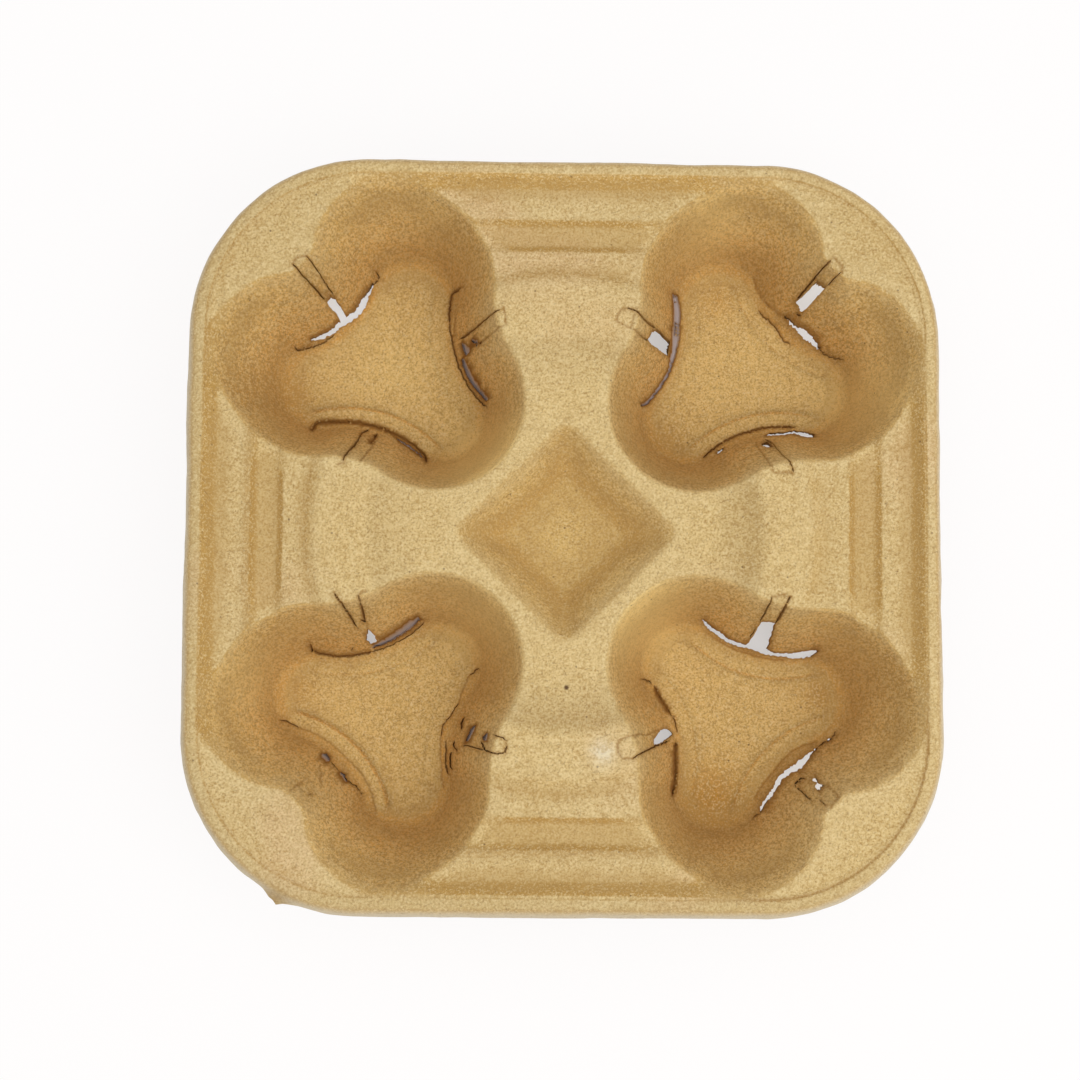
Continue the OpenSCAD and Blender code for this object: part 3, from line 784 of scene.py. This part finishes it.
gap, radius = edge_gap(x, y), np.hypot(x, y)
corner_line = peak(gap, RIM_W, CORNER_LINE_W) * part_way(radius, CORNER_FROM, CORNER_FULL)
score = np.maximum(scored, corner_line * np.where((x > 0) & (y < 0), 1.0, CORNER_FAINT))
by_shred = blot(SHRED_AT, SHRED_BROWN_R)
sunk = part_way(z, SUNK_FROM, SUNK_FULL)
pale = eased(part_way(radius, MIDDLE_PALE_FROM, MIDDLE_PALE_FULL)) * (1 - sunk)
pocket = part_way(deck_height(x, y) - tray_height(x, y), 0, 0.5)
in_well = part_way(z, WELL_FROM, WELL_FULL) * (np.abs(x) + np.abs(y) < WELL_REACH)
pocket = np.maximum(pocket, WELL_TINT * in_well)
layers["score"] = np.maximum(score, SHRED_BROWN * by_shred)
layers["sunk"] = sunk
# The patch at PALE_AT is painted light, on the side where the key light stands.
layers["pale"] = np.maximum(pale, blot(PALE_AT, PALE_R) * (z > PALE_ABOVE))
layers["skirt"] = part_way(gap, SKIRT_FROM, SKIRT_FULL) * (1 - by_shred)
layers["pocket"] = pocket
layers["low"] = part_way(z, LOW_FROM, LOW_FULL) * pocket
print("pockets and well take", int((pocket > 0.5).sum()), "points")

# %% [markdown]
# Inside the pockets, spots of painted light make places paler, most of all walls that face the light,
# and spots of painted shade make places darker and browner. Each spot is a pocket, a bearing and a
# reach from its axis, a size, and an amount that is positive for painted light and negative for
# painted shade. The gentle slopes of the dish, the ring and the groove get a browner painted shade
# too, where they face away from the light; on the dish that is its side toward the light.

# %% Paint the light and shade
LIGHT_AND_SHADE_SPOTS = (
    (0, 345, 36, 13, 0.7), (0, 105, 40, 13, 0.5), (0, 0, 0, 18, 0.2), (0, 225, 40, 7, 0.3),
    (0, 225, 31, 9, -0.6), (0, 105, 23, 8, -0.6),
    (1, 0, 0, 18, 0.27), (1, 315, 40, 13, 1.1), (1, 75, 42, 10, 0.25),
    (1, 195, 31, 8, -0.6), (1, 195, 42, 9, -0.8),
    (2, 45, 37, 14, 0.6), (2, 165, 38, 12, 0.4), (2, 285, 42, 9, 0.2),
    (2, 285, 35, 8, -0.35), (2, 165, 27, 6, -0.6),
    (3, 135, 41, 14, 1.0), (3, 15, 36, 8, 0.35), (3, 255, 36, 8, -0.5), (3, 255, 25, 13, -0.8),
    (3, 15, 26, 7, -0.6), (3, 15, 42, 9, -0.7),
)
DISH_DARK, DISH_DARKEST, DISH_END, DISH_EDGE = 40, 51, 56, 53
DISH_MEAN, DISH_LIT = 0.78, 0.27
RING_DARK, RING_DARK_W, GROOVE_DARK, GROOVE_DARK_W = 71.8, 1.8, 87.5, 1.5
DISH_SHADE_BROWN, RING_SHADE_BROWN, GROOVE_SHADE_BROWN = 0.42, 0.37, 0.52
POCKET_SIDES = PITCH_HALF * np.array([(1, 1), (-1, 1), (-1, -1), (1, -1)])

light_and_shade = np.zeros(len(plan))
for quarter, degrees, reach, size, amount in LIGHT_AND_SHADE_SPOTS:
    bearing = math.radians(degrees)
    centre = POCKET_SIDES[quarter] + reach * np.array([math.cos(bearing), math.sin(bearing)])
    light_and_shade += amount * blot(centre, size) * pocket
to_light = np.clip((x - y) / np.maximum(radius, 1), -1, 1)
to_right = np.clip(x / np.maximum(radius, 1), 0, 1)
dish_slope = part_way(radius, DISH_DARK, DISH_DARKEST) * part_way(radius, DISH_END, DISH_EDGE)
dish_slope *= DISH_MEAN + DISH_LIT * to_light
ring_slope = peak(radius, RING_DARK, RING_DARK_W) * (1 - to_right)
groove_slope = peak(np.maximum(-x, -y), GROOVE_DARK, GROOVE_DARK_W)
groove_slope *= np.minimum(np.abs(x), np.abs(y)) < PITCH_HALF
# Browner painted shade on the slopes of the dish, the ring and the groove, where they face away from the
# light.
brown_shades = DISH_SHADE_BROWN * dish_slope + RING_SHADE_BROWN * ring_slope + GROOVE_SHADE_BROWN * groove_slope
layers["light_and_shade"] = light_and_shade - brown_shades * (1 - pocket)
print(len(LIGHT_AND_SHADE_SPOTS), "spots of painted light and shade")

# %% [markdown]
# Last come soft painted shades, positive where the colour is painted darker: along the folds of the
# pocket floors, on the floor of the well, in the bend at the foot of the walls, on the slopes named
# above and along the front and left rim. Where they are negative they paint light on the pocket
# walls and on the slope at the back. A little white fluff is left beside one slit at the front.

# %% Paint the shades
FLOOR_BELOW, WELL_BELOW = 8, 29.5
FOLD_SHADE, WELL_SHADE = 0.16, 0.05
BEND_AT, BEND_W, BEND_SHADE, WALL_AT, WALL_W, WALL_LIGHT = 26, 4, 0.05, 35, 3.5, 0.05
BACK_FROM, BACK_TO, BACK_BEHIND, BACK_HALF, BACK_LIGHT = 5, 9.5, 86, 60, 0.07
RIM_FROM, RIM_FULL, RIM_SHADE = 60, 90, 0.055
DISH_SHADE, RING_SHADE, GROOVE_SHADE = 0.13, 0.057, 0.1
FLUFF_AT, FLUFF_R = (10.4, -59.8), 3.0

axis_gap = np.hypot(np.abs(x) - PITCH_HALF, np.abs(y) - PITCH_HALF)
on_back_slope = (gap > BACK_FROM) & (gap < BACK_TO) & (y > BACK_BEHIND) & (np.abs(x) < BACK_HALF)
front_left = part_way(np.maximum(-x, -y), RIM_FROM, RIM_FULL)
shade = FOLD_SHADE * fold(x, y)[1] * (z < FLOOR_BELOW) + WELL_SHADE * in_well * (z < WELL_BELOW)
shade += BEND_SHADE * peak(axis_gap, BEND_AT, BEND_W) * (z < FLOOR_BELOW)
shade -= WALL_LIGHT * peak(axis_gap, WALL_AT, WALL_W) * pocket
shade -= BACK_LIGHT * on_back_slope
shade += RIM_SHADE * np.clip(RIM_W - gap, 0, 1) * front_left
slopes = DISH_SHADE * dish_slope + RING_SHADE * ring_slope + GROOVE_SHADE * groove_slope
layers["shade"] = shade + slopes * (1 - pocket)
layers["fuzz"] = blot(FLUFF_AT, FLUFF_R)
print(f"shades from {layers['shade'].min():.2f} to {layers['shade'].max():.2f}")

# %% [markdown]
# The points and triangles become a mesh, still without thickness. Its normals have to point up,
# because the next steps move points along them.

# %% Make the sheet


def point_normals():
    flat = np.zeros(len(mesh.vertices) * 3, np.float32)
    mesh.vertices.foreach_get("normal", flat)
    return flat.reshape(-1, 3).astype(float)


mesh = bpy.data.meshes.new("pulp_tray")
mesh.from_pydata((np.stack([x, y, z], 1) * MM).tolist(), [], faces.tolist())
mesh.validate()
tray = bpy.data.objects.new("pulp_tray", mesh)
bpy.context.scene.collection.objects.link(tray)
bpy.context.view_layer.objects.active = tray
tray.select_set(True)
bpy.ops.object.mode_set(mode="EDIT")
bpy.ops.mesh.select_all(action="SELECT")
bpy.ops.mesh.normals_make_consistent(inside=False)
bpy.ops.object.mode_set(mode="OBJECT")
if point_normals()[:, 2].mean() < 0:
    mesh.flip_normals()
up = point_normals()
print("sheet faces up:", bool(up[:, 2].mean() > 0))

# %% [markdown]
# A dried pulp sheet is never quite true. Lumps of a few millimetres come from the felt of fibres,
# and longer waves from drying. They are made as small moves along the normals, from a lattice of
# seeded values that is blended between its points, and so they are part of the shape and not only
# of the shading.

# %% Unevenness of the pulp
LUMPS = ((0.28, 26, 3.7), (0.16, 9, 11.2), (0.09, 4, 23.9), (0.05, 2.2, 31.4))
lattice = chance.uniform(-1, 1, 256)
shuffle = chance.permutation(256)


def lumps(places, size, shift):
    """Smooth random values between -1 and 1, that change over about that size."""
    spot = places / size + shift
    cell = np.floor(spot).astype(int)
    part = eased(spot - cell)
    total = np.zeros(len(places))
    for corner in range(8):
        step = np.array([corner & 1, corner >> 1 & 1, corner >> 2 & 1])
        key = (cell + step) & 255
        pick = shuffle[(shuffle[(shuffle[key[:, 0]] + key[:, 1]) & 255] + key[:, 2]) & 255]
        total += np.prod(np.where(step, part, 1 - part), 1) * lattice[pick]
    return total


places = np.stack([x, y, z], 1)
move = sum(height * lumps(places, size, shift) for height, size, shift in LUMPS)
places = places + up * move[:, None]
print(f"moves from {move.min():.2f} to {move.max():.2f} mm")

# %% [markdown]
# The rim has pulled in a little on the right and at the back as it dried, and its lower edge is
# wavy. The lower edge was trimmed while the pulp was damp, and one shred is left hanging on it near
# the front left corner.

# %% Warp of the rim
EDGE_BAND, EDGE_LONG, EDGE_SHORT = 1.0, (0.5, 9, 5.1), (0.35, 3, 17.3)
WARP_IN, WARP_FROM, WARP_FULL = 16, 15, 75
RIGHT_WARP, RIGHT_SKEW, BACK_WARP, BACK_SKEW = 1.3, 0.006, 1.1, 0.003
SHRED_LONG, SHRED_OUT, SHRED_ROUGH, SHRED_FALL = 3.6, 2.3, (0.8, 1.6, 9.9), 1.2

lower_edge = part_way(gap, EDGE_BAND, 0)
waves = [height * lumps(places, size, shift) for height, size, shift in (EDGE_LONG, EDGE_SHORT)]
places[:, 2] += lower_edge * (waves[0] + waves[1])
warp = eased(part_way(gap, WARP_IN, 0))
places[:, 0] -= warp * part_way(x, WARP_FROM, WARP_FULL) * (RIGHT_WARP + RIGHT_SKEW * y)
places[:, 1] -= warp * part_way(y, WARP_FROM, WARP_FULL) * (BACK_WARP + BACK_SKEW * x)
near_shred = np.exp(-np.sum((places[:, :2] - SHRED_AT) ** 2, 1) / SHRED_LONG**2) * lower_edge
outward = places[:, :2] / np.linalg.norm(places[:, :2], axis=1)[:, None]
push = near_shred * (SHRED_OUT + SHRED_ROUGH[0] * lumps(places, *SHRED_ROUGH[1:]))
places[:, :2] += outward * push[:, None]
places[:, 2] -= SHRED_FALL * push
mesh.vertices.foreach_set("co", (places * MM).astype(np.float32).ravel())
mesh.update()
print("shred stands out", round(float(push.max()), 2), "mm")

# %% [markdown]
# Edges that stand out get a painted highlight, and hollows get painted shade.
# Both can be read from the mesh: a point that lies above the mean of its neighbours is on an edge,
# one that lies below it is in a hollow. Steep faces are painted browner than level ones: partly the
# felt drawn out there, whose pale surface fibres are thin, and partly painted shade for the thinner
# light that falls on a steep face. Both results are painted layers too.

# %% Painted highlights, painted shade and steep walls
STAND_ROUNDS, STAND_FULL, SOFTEN_ROUNDS, TORN_FROM = 14, 0.6, 4, 0.14
ways = np.concatenate([faces[:, [0, 1]], faces[:, [1, 2]], faces[:, [2, 0]]])
both_ways = np.concatenate([ways, ways[:, ::-1]])
count = np.bincount(both_ways[:, 0], minlength=len(places)).astype(float)


def neighbour_mean(values):
    columns = [np.bincount(both_ways[:, 0], column[both_ways[:, 1]], len(places)) for column in values.T]
    return np.stack(columns, 1) / count[:, None]


smoothed = places
for _ in range(STAND_ROUNDS):
    smoothed = neighbour_mean(smoothed)
stand = np.sum((places - smoothed) * up, 1)
stand[tear > TORN_FROM] = 0
stand = np.clip(stand / STAND_FULL, -1, 1)[:, None]
for _ in range(SOFTEN_ROUNDS):
    stand = neighbour_mean(stand)
layers["stand"] = stand[:, 0]
up = point_normals()
steep = np.clip(1 - up[:, 2], 0, 1)
layers["steep"] = 0.5 * steep + 0.5 * neighbour_mean(steep[:, None])[:, 0]
print(f"edges {int((stand > 0.3).sum())} points, hollows {int((stand < -0.3).sum())} points")

# %% [markdown]
# The Solidify modifier would push every point along its normal, and on a sloping wall the lower
# mouth of a slit would then lie beside the upper one. The slits were sheared upright, so the lower
# face is made here: along the normal on the whole, and straight down beside a tear.

# %% The lower face
UPRIGHT_GAP, EDGE_KEPT, LOWER_ROUNDS = 1.6, 1.5, 3
LEAST_SHARE, MOST_WALL = 0.2, 2.3
upright = np.clip(UPRIGHT_GAP - tear_gap, 0, 1)[:, None]
way = up * (1 - upright) + np.array([0, 0, 1]) * upright
way /= np.linalg.norm(way, axis=1)[:, None]
deep = np.minimum(WALL / np.maximum(np.sum(way * up, 1), LEAST_SHARE), MOST_WALL * WALL)
under = places - way * deep[:, None]
free = ((tear_gap > UPRIGHT_GAP) & (gap > EDGE_KEPT))[:, None]
for _ in range(LOWER_ROUNDS):
    under = np.where(free, 0.5 * under + 0.5 * neighbour_mean(under), under)
print(f"walls up to {deep.max():.1f} mm deep beside the tears")

# %% [markdown]
# An edge that belongs to one triangle only is on the outline or on a tear. There a narrow face joins
# the upper face to the lower one. The painted layers go on both, apart from the grey of the dim
# gaps, a painted shade that is seen from above only.

# %% Give the sheet its thickness
SMOOTH_BELOW = math.radians(50)
count_top = len(places)
key = np.sort(ways, 1)
_, first, uses = np.unique(key[:, 0] * count_top + key[:, 1], return_index=True, return_counts=True)
border = ways[first[uses == 1]]
sides = np.concatenate([border[:, ::-1], border + count_top], 1)
body = faces.tolist() + (faces[:, ::-1] + count_top).tolist() + sides.tolist()
mesh.clear_geometry()
mesh.from_pydata((np.concatenate([places, under]) * MM).tolist(), [], body)
for name, values in layers.items():
    layer = mesh.attributes.new(name, "FLOAT", "POINT")
    both = np.concatenate([values, values * (name != "dim")])
    layer.data.foreach_set("value", both.astype(np.float32))
mesh.update()
bpy.ops.object.shade_smooth_by_angle(angle=SMOOTH_BELOW)
triangles = sum(len(p.vertices) - 2 for p in mesh.polygons)
print("tray has", triangles, "triangles,", len(border), "edges along tears and rim")

# %% [markdown]
# The finish is undyed pulp: a straw brown with a fine mottle of paler and browner fibre, soft
# clouds a few centimetres wide, and a few dark specks from the waste paper. Every layer reads
# Object coordinates, in metres, so a noise scale of 1000 means patches of about a millimetre.
# These helpers each add one node and hand back the socket that its result comes from.

# %% Helpers for the finish
pulp = bpy.data.materials.new("pulp")
pulp.use_nodes = True
nodes, links = pulp.node_tree.nodes, pulp.node_tree.links
shader = nodes["Principled BSDF"]
place = nodes.new("ShaderNodeTexCoord").outputs["Object"]


def fill(socket, value):
    """Links a socket to another one, or sets it to a constant."""
    if isinstance(value, bpy.types.NodeSocket):
        links.new(value, socket)
    else:
        socket.default_value = value


def add(kind, **values):
    """Adds a node and fills the inputs that are named."""
    node = nodes.new("ShaderNode" + kind)
    for name, value in values.items():
        fill(node.inputs[name.replace("_", " ")], value)
    return node


def noise(scale, detail, rough, turn=None, stretch=None):
    source = place
    if stretch:
        mapping = add("Mapping", Vector=place, Rotation=turn, Scale=stretch)
        mapping.vector_type = "TEXTURE"
        source = mapping.outputs["Vector"]
    return add("TexNoise", Vector=source, Scale=scale, Detail=detail, Roughness=rough).outputs["Fac"]


def between(value, low_in, high_in, low_out=0.0, high_out=1.0):
    """A number that eases from one limit to the other while the value does."""
    node = add("MapRange", Value=value, From_Min=low_in, From_Max=high_in, To_Min=low_out, To_Max=high_out)
    node.interpolation_type = "SMOOTHSTEP"
    return node.outputs["Result"]


print("the finish starts from the", shader.name)

# %% [markdown]
# Two colours or two numbers are put together by nodes too. A value may be a socket, which is then
# linked, or a constant.

# %% Helpers that put values together


def blend(amount, first, second):
    node = add("Mix")
    node.data_type = "RGBA"
    sockets = {socket.identifier: socket for socket in node.inputs}
    fill(sockets["Factor_Float"], amount)
    fill(sockets["A_Color"], first)
    fill(sockets["B_Color"], second)
    return next(socket for socket in node.outputs if socket.identifier == "Result_Color")


def combine(node, kind, first, second, slot=1):
    """Sets what a math node does, and with which two values."""
    node.operation = kind
    fill(node.inputs[0], first)
    fill(node.inputs[slot], second)
    return node.outputs


def times(value, factor):
    return combine(add("Math"), "MULTIPLY", value, factor)[0]


def painted(name):
    node = add("Attribute")
    node.attribute_name = name
    return node.outputs["Fac"]


def lay_on(colour, coats):
    """Lays coats over a colour: what guides it, where it starts, where it is full, how much, its tint."""
    for guide, start, full, most, tint in coats:
        colour = blend(times(between(guide, start, full), most), colour, tint)
    return colour


print("a coat is a guide, its limits, an amount and a tint")

# %% [markdown]
# The colours are laid on in the order in which the real ones came about, with painted light and
# shade among them: the mottled deck, the browner walls, then spots of painted light and painted shade.

# %% Colours of the pulp
STRAW, PALE, BROWN = (0.63, 0.455, 0.2, 1), (0.76, 0.6, 0.32, 1), (0.46, 0.285, 0.095, 1)
SLOPE, LOW_WALL_BROWN, DEEP = (0.49, 0.27, 0.05, 1), (0.82, 0.42, 0.085, 1), (0.72, 0.475, 0.155, 1)
UPPER, PAINTED_LIGHT, SHADE_BROWN = (0.72, 0.425, 0.105, 1), (1.0, 0.73, 0.28, 1), (0.56, 0.27, 0.035, 1)
PALE_TAN, BLUSH = (0.76, 0.56, 0.25, 1), (0.66, 0.43, 0.24, 1)
steep_layer, light_and_shade_layer = painted("steep"), painted("light_and_shade")
painted_light_share = between(light_and_shade_layer, 0, 1, 0, 0.6)
# Steep faces are painted browner: partly the pulp's own, partly painted shade for the thinner light on a
# steep face.
wall = blend(painted("pocket"), SLOPE, blend(painted("low"), UPPER, LOW_WALL_BROWN))
colour = lay_on(STRAW, [
    (noise(34, 3, 0.55), 0.36, 0.68, 0.45, PALE),
    (noise(21, 2, 0.5), 0.54, 0.7, 0.5, BLUSH),
])
# Deep in the pockets the colour is painted a warmer brown: painted bounce light and shade.
colour = blend(times(painted("sunk"), 0.85), colour, DEEP)
colour = lay_on(colour, [(steep_layer, 0.02, 0.2, 0.9, wall)])
# Painted light where the light and shade layer is positive.
colour = blend(painted_light_share, colour, PAINTED_LIGHT)
# Painted shade, darker and browner, where the light and shade layer is negative.
colour = blend(between(light_and_shade_layer, 0, -1), colour, SHADE_BROWN)
# A paler middle of the deck, and painted light toward the front right.
colour = blend(times(painted("pale"), 0.45), colour, PALE_TAN)
print("pulp colour from", STRAW, "with", PALE, "and", BROWN)

# %% [markdown]
# The grain comes in four sizes: blotches, felt, fibre, and on the walls fibres drawn out upward by
# the mould. The painted light and the pale skirt lie over the grain, and the soft painted shades lie
# over all of it.

# %% Grain in colour
SKIRT = (0.8, 0.71, 0.55, 1)
blotch, felt, fibre = noise(250, 4, 0.65), noise(620, 5, 0.7), noise(1600, 4, 0.68)
drawn_up = noise(1500, 3, 0.6, (0, 0, 0), (1, 1, 4))
on_wall = between(steep_layer, 0.1, 0.6, 0.25, 0.6)
wall_only = between(steep_layer, 0.15, 0.6)
colour = lay_on(colour, [
    (blotch, 0.55, 0.34, on_wall, BROWN),
    (blotch, 0.5, 0.7, times(on_wall, 0.7), PALE_TAN),
    (felt, 0.56, 0.3, 0.6, BROWN),
    (fibre, 0.5, 0.64, 0.75, PALE),
    (fibre, 0.52, 0.33, 0.95, BROWN),
    (drawn_up, 0.5, 0.64, times(wall_only, 0.7), PALE_TAN),
    (drawn_up, 0.5, 0.36, times(wall_only, 0.9), BROWN),
])
# The painted light again, over the grain.
colour = blend(painted_light_share, colour, PAINTED_LIGHT)
colour = blend(times(painted("skirt"), 0.75), colour, SKIRT)
lightness = between(painted("shade"), -1, 1, 2, 0)
colour = combine(add("VectorMath"), "SCALE", colour, lightness, "Scale")["Vector"]
print("grain of blotches, felt and fibre")

# %% [markdown]
# Single fibres lie on the surface every way. They are a noise that is stretched four times along
# one direction, laid on in three directions, dark where it is high and pale where it is low.

# %% Single fibres
THREAD = (0.3, 0.17, 0.055, 1)
THREAD_TURNS = ((0, 0, 0.3), (0.5, 0.2, 1.35), (0.2, -0.5, 2.4))
for turn in THREAD_TURNS:
    thread = noise(2000, 2, 0.5, turn, (4, 1, 1))
    colour = lay_on(colour, [(thread, 0.61, 0.72, 0.5, THREAD), (thread, 0.38, 0.28, 0.45, PALE)])
print(len(THREAD_TURNS), "directions of fibre")

# %% [markdown]
# Specks of waste paper are the cells of a Voronoi texture: a dot at the middle of a few cells, which
# are picked by their random colour. Three large specks have places of their own. The painted
# highlight on edges, the painted shade in hollows, scored lines, fluff, torn edges with the painted
# shade in cracks, and the grey painted shade of the dim gaps come last, from their painted layers.

# %% Specks and torn edges
TORN_AND_GAP_SHADE, SPECK = (0.26, 0.115, 0.02, 1), (0.12, 0.065, 0.03, 1)
DIM, FUZZ = (0.47, 0.4, 0.39, 1), (0.86, 0.8, 0.62, 1)
BIG_SPECKS = ((-0.1004, 0.0675, 0.0425), (0.0004, -0.0425, 0.0412), (-0.0632, -0.0917, 0.041))
BIG_SPECK_OUT, BIG_SPECK_IN = 0.0009, 0.0003
specks = add("TexVoronoi", Vector=place, Scale=330).outputs
picked = add("SeparateColor", Color=specks["Color"]).outputs["Red"]
dots = times(between(specks["Distance"], 0.13, 0.06), between(picked, 0.86, 0.9))
stand_layer = painted("stand")
colour = blend(times(dots, 0.7), colour, SPECK)
# A painted highlight on standing edges and painted shade in the hollows.
colour = lay_on(colour, [(stand_layer, 0.05, 0.6, 0.12, PALE), (stand_layer, -0.05, -0.6, 0.4, BROWN)])
colour = blend(times(painted("score"), 0.5), colour, TORN_AND_GAP_SHADE)
colour = blend(times(painted("fuzz"), between(felt, 0.3, 0.6, 0.2, 0.7)), colour, FUZZ)
for speck in BIG_SPECKS:
    away = combine(add("VectorMath"), "DISTANCE", place, speck)["Value"]
    colour = blend(between(away, BIG_SPECK_OUT, BIG_SPECK_IN), colour, SPECK)
# Torn edges in their brown, and darker painted shade down the middle of the cracks.
colour = blend(painted("tear"), colour, TORN_AND_GAP_SHADE)
# Grey painted shade on the floor of the dim gaps.
colour = blend(painted("dim"), colour, DIM)
links.new(colour, shader.inputs["Base Color"])
shader.inputs["Roughness"].default_value = 0.92
shader.inputs["Specular IOR Level"].default_value = 0.25
print("specks, painted edge light and torn edges are in")

# %% [markdown]
# Fibre and felt are also felt by the light: two Bump nodes, one on top of the other, give the
# surface a dry, fuzzy grain that is too fine for the mesh.

# %% Grain in relief
fine = add("Bump", Height=fibre, Strength=0.55, Distance=0.0005)
coarse = add("Bump", Height=felt, Strength=0.4, Distance=0.0009, Normal=fine.outputs["Normal"])
links.new(coarse.outputs["Normal"], shader.inputs["Normal"])
tray.data.materials.append(pulp)
print("grain in two sizes")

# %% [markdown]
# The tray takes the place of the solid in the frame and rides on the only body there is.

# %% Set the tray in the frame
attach(tray, "root")
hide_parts("carrier")
print("tray in the place of the solid")

# %% [markdown]
# The tray lies on a white table. The floor is a plain diffuse white that keeps the shadow, with
# some light of its own toward the camera, so that it stays white in the picture. Close to the tray
# that light is less, so that the shadow shows.

# %% Floor
FLOOR_SIZE, FLOOR_Z, STRAIGHT = 6, -0.0004, (HALF - CORNER_R) * MM
SHADOW_END, WHITE_FROM, GLOW_NEAR, GLOW_FAR = 0.045, 0.053, 0.46, 0.9
bpy.ops.object.select_all(action="DESELECT")
bpy.ops.mesh.primitive_plane_add(size=FLOOR_SIZE, location=(0, 0, FLOOR_Z))
floor = bpy.context.active_object
floor.name = "floor"
white = bpy.data.materials.new("white_table")
white.use_nodes = True
nodes, links = white.node_tree.nodes, white.node_tree.links
shader = nodes["Principled BSDF"]
shader.inputs["Base Color"].default_value = (0.95, 0.95, 0.95, 1)
shader.inputs["Roughness"].default_value = 1
shader.inputs["Specular IOR Level"].default_value = 0
glow = add("Emission", Color=(1, 0.985, 0.98, 1), Strength=1)
rays = add("LightPath").outputs
seen = rays["Is Camera Ray"]
for ray in ("Is Glossy Ray", "Is Transmission Ray"):
    seen = combine(add("Math"), "MAXIMUM", seen, rays[ray])[0]
spot = add("NewGeometry").outputs["Position"]
for kind, inner in (("ABSOLUTE", 0), ("SUBTRACT", STRAIGHT), ("MAXIMUM", 0)):
    spot = combine(add("VectorMath"), kind, spot, (inner, inner, 0))["Vector"]
away = combine(add("VectorMath"), "LENGTH", spot, (0, 0, 0))["Value"]
share = times(seen, between(away, SHADOW_END, WHITE_FROM, GLOW_NEAR, GLOW_FAR))
mix = add("MixShader", Fac=share)
links.new(shader.outputs["BSDF"], mix.inputs[1])
links.new(glow.outputs["Emission"], mix.inputs[2])
links.new(mix.outputs["Shader"], nodes["Material Output"].inputs["Surface"])
floor.data.materials.append(white)
print("floor at", floor.location.z)

# %% [markdown]
# The light is soft and comes from the front right, so the left and back sides of the rim are in
# half shade. A pale sky fills the rest, and is white where the camera sees it past the floor.

# %% Light
SKY_LIGHT, SKY_SEEN = 0.6, 0.98
world = bpy.data.worlds.new("pale_room")
bpy.context.scene.world = world
world.use_nodes = True
nodes, links = world.node_tree.nodes, world.node_tree.links
sky = nodes["Background"]
sky.inputs["Color"].default_value = (1, 1, 1, 1)
camera_ray = add("LightPath").outputs["Is Camera Ray"]
level = add("MapRange", Value=camera_ray, To_Min=SKY_LIGHT, To_Max=SKY_SEEN)
links.new(level.outputs["Result"], sky.inputs["Strength"])


def lamp(name, place, size, power):
    data = bpy.data.lights.new(name, "AREA")
    data.shape = "SQUARE"
    data.size = size
    data.energy = power
    light = bpy.data.objects.new(name, data)
    bpy.context.scene.collection.objects.link(light)
    light.location = place
    light.rotation_euler = (-light.location).to_track_quat("-Z", "Y").to_euler()
    print(name, "at", place)


lamp("key_light", (0.6, -0.4, 0.9), 0.7, 2.6)
lamp("over_light", (0.1, -0.1, 1.2), 1.4, 7.0)

# %% [markdown]
# The picture was taken from straight above, a little toward the front, at about sixty centimetres.

# %% Camera
VIEW_PLACE = (-0.0141, -0.0495, 0.645)
VIEW_TURN = (0.078, -0.0122, 0.0091)
FOCAL_PIXELS, PICTURE_PIXELS, SENSOR = 2212.7, 1080, 36.0
view = bpy.data.cameras.new("camera")
view.sensor_width = SENSOR
view.lens = FOCAL_PIXELS / PICTURE_PIXELS * SENSOR
camera = bpy.data.objects.new("camera", view)
bpy.context.scene.collection.objects.link(camera)
camera.location = VIEW_PLACE
camera.rotation_euler = VIEW_TURN
bpy.context.scene.camera = camera
bpy.context.scene.view_settings.view_transform = "Standard"
print("lens", round(view.lens, 1), "mm")
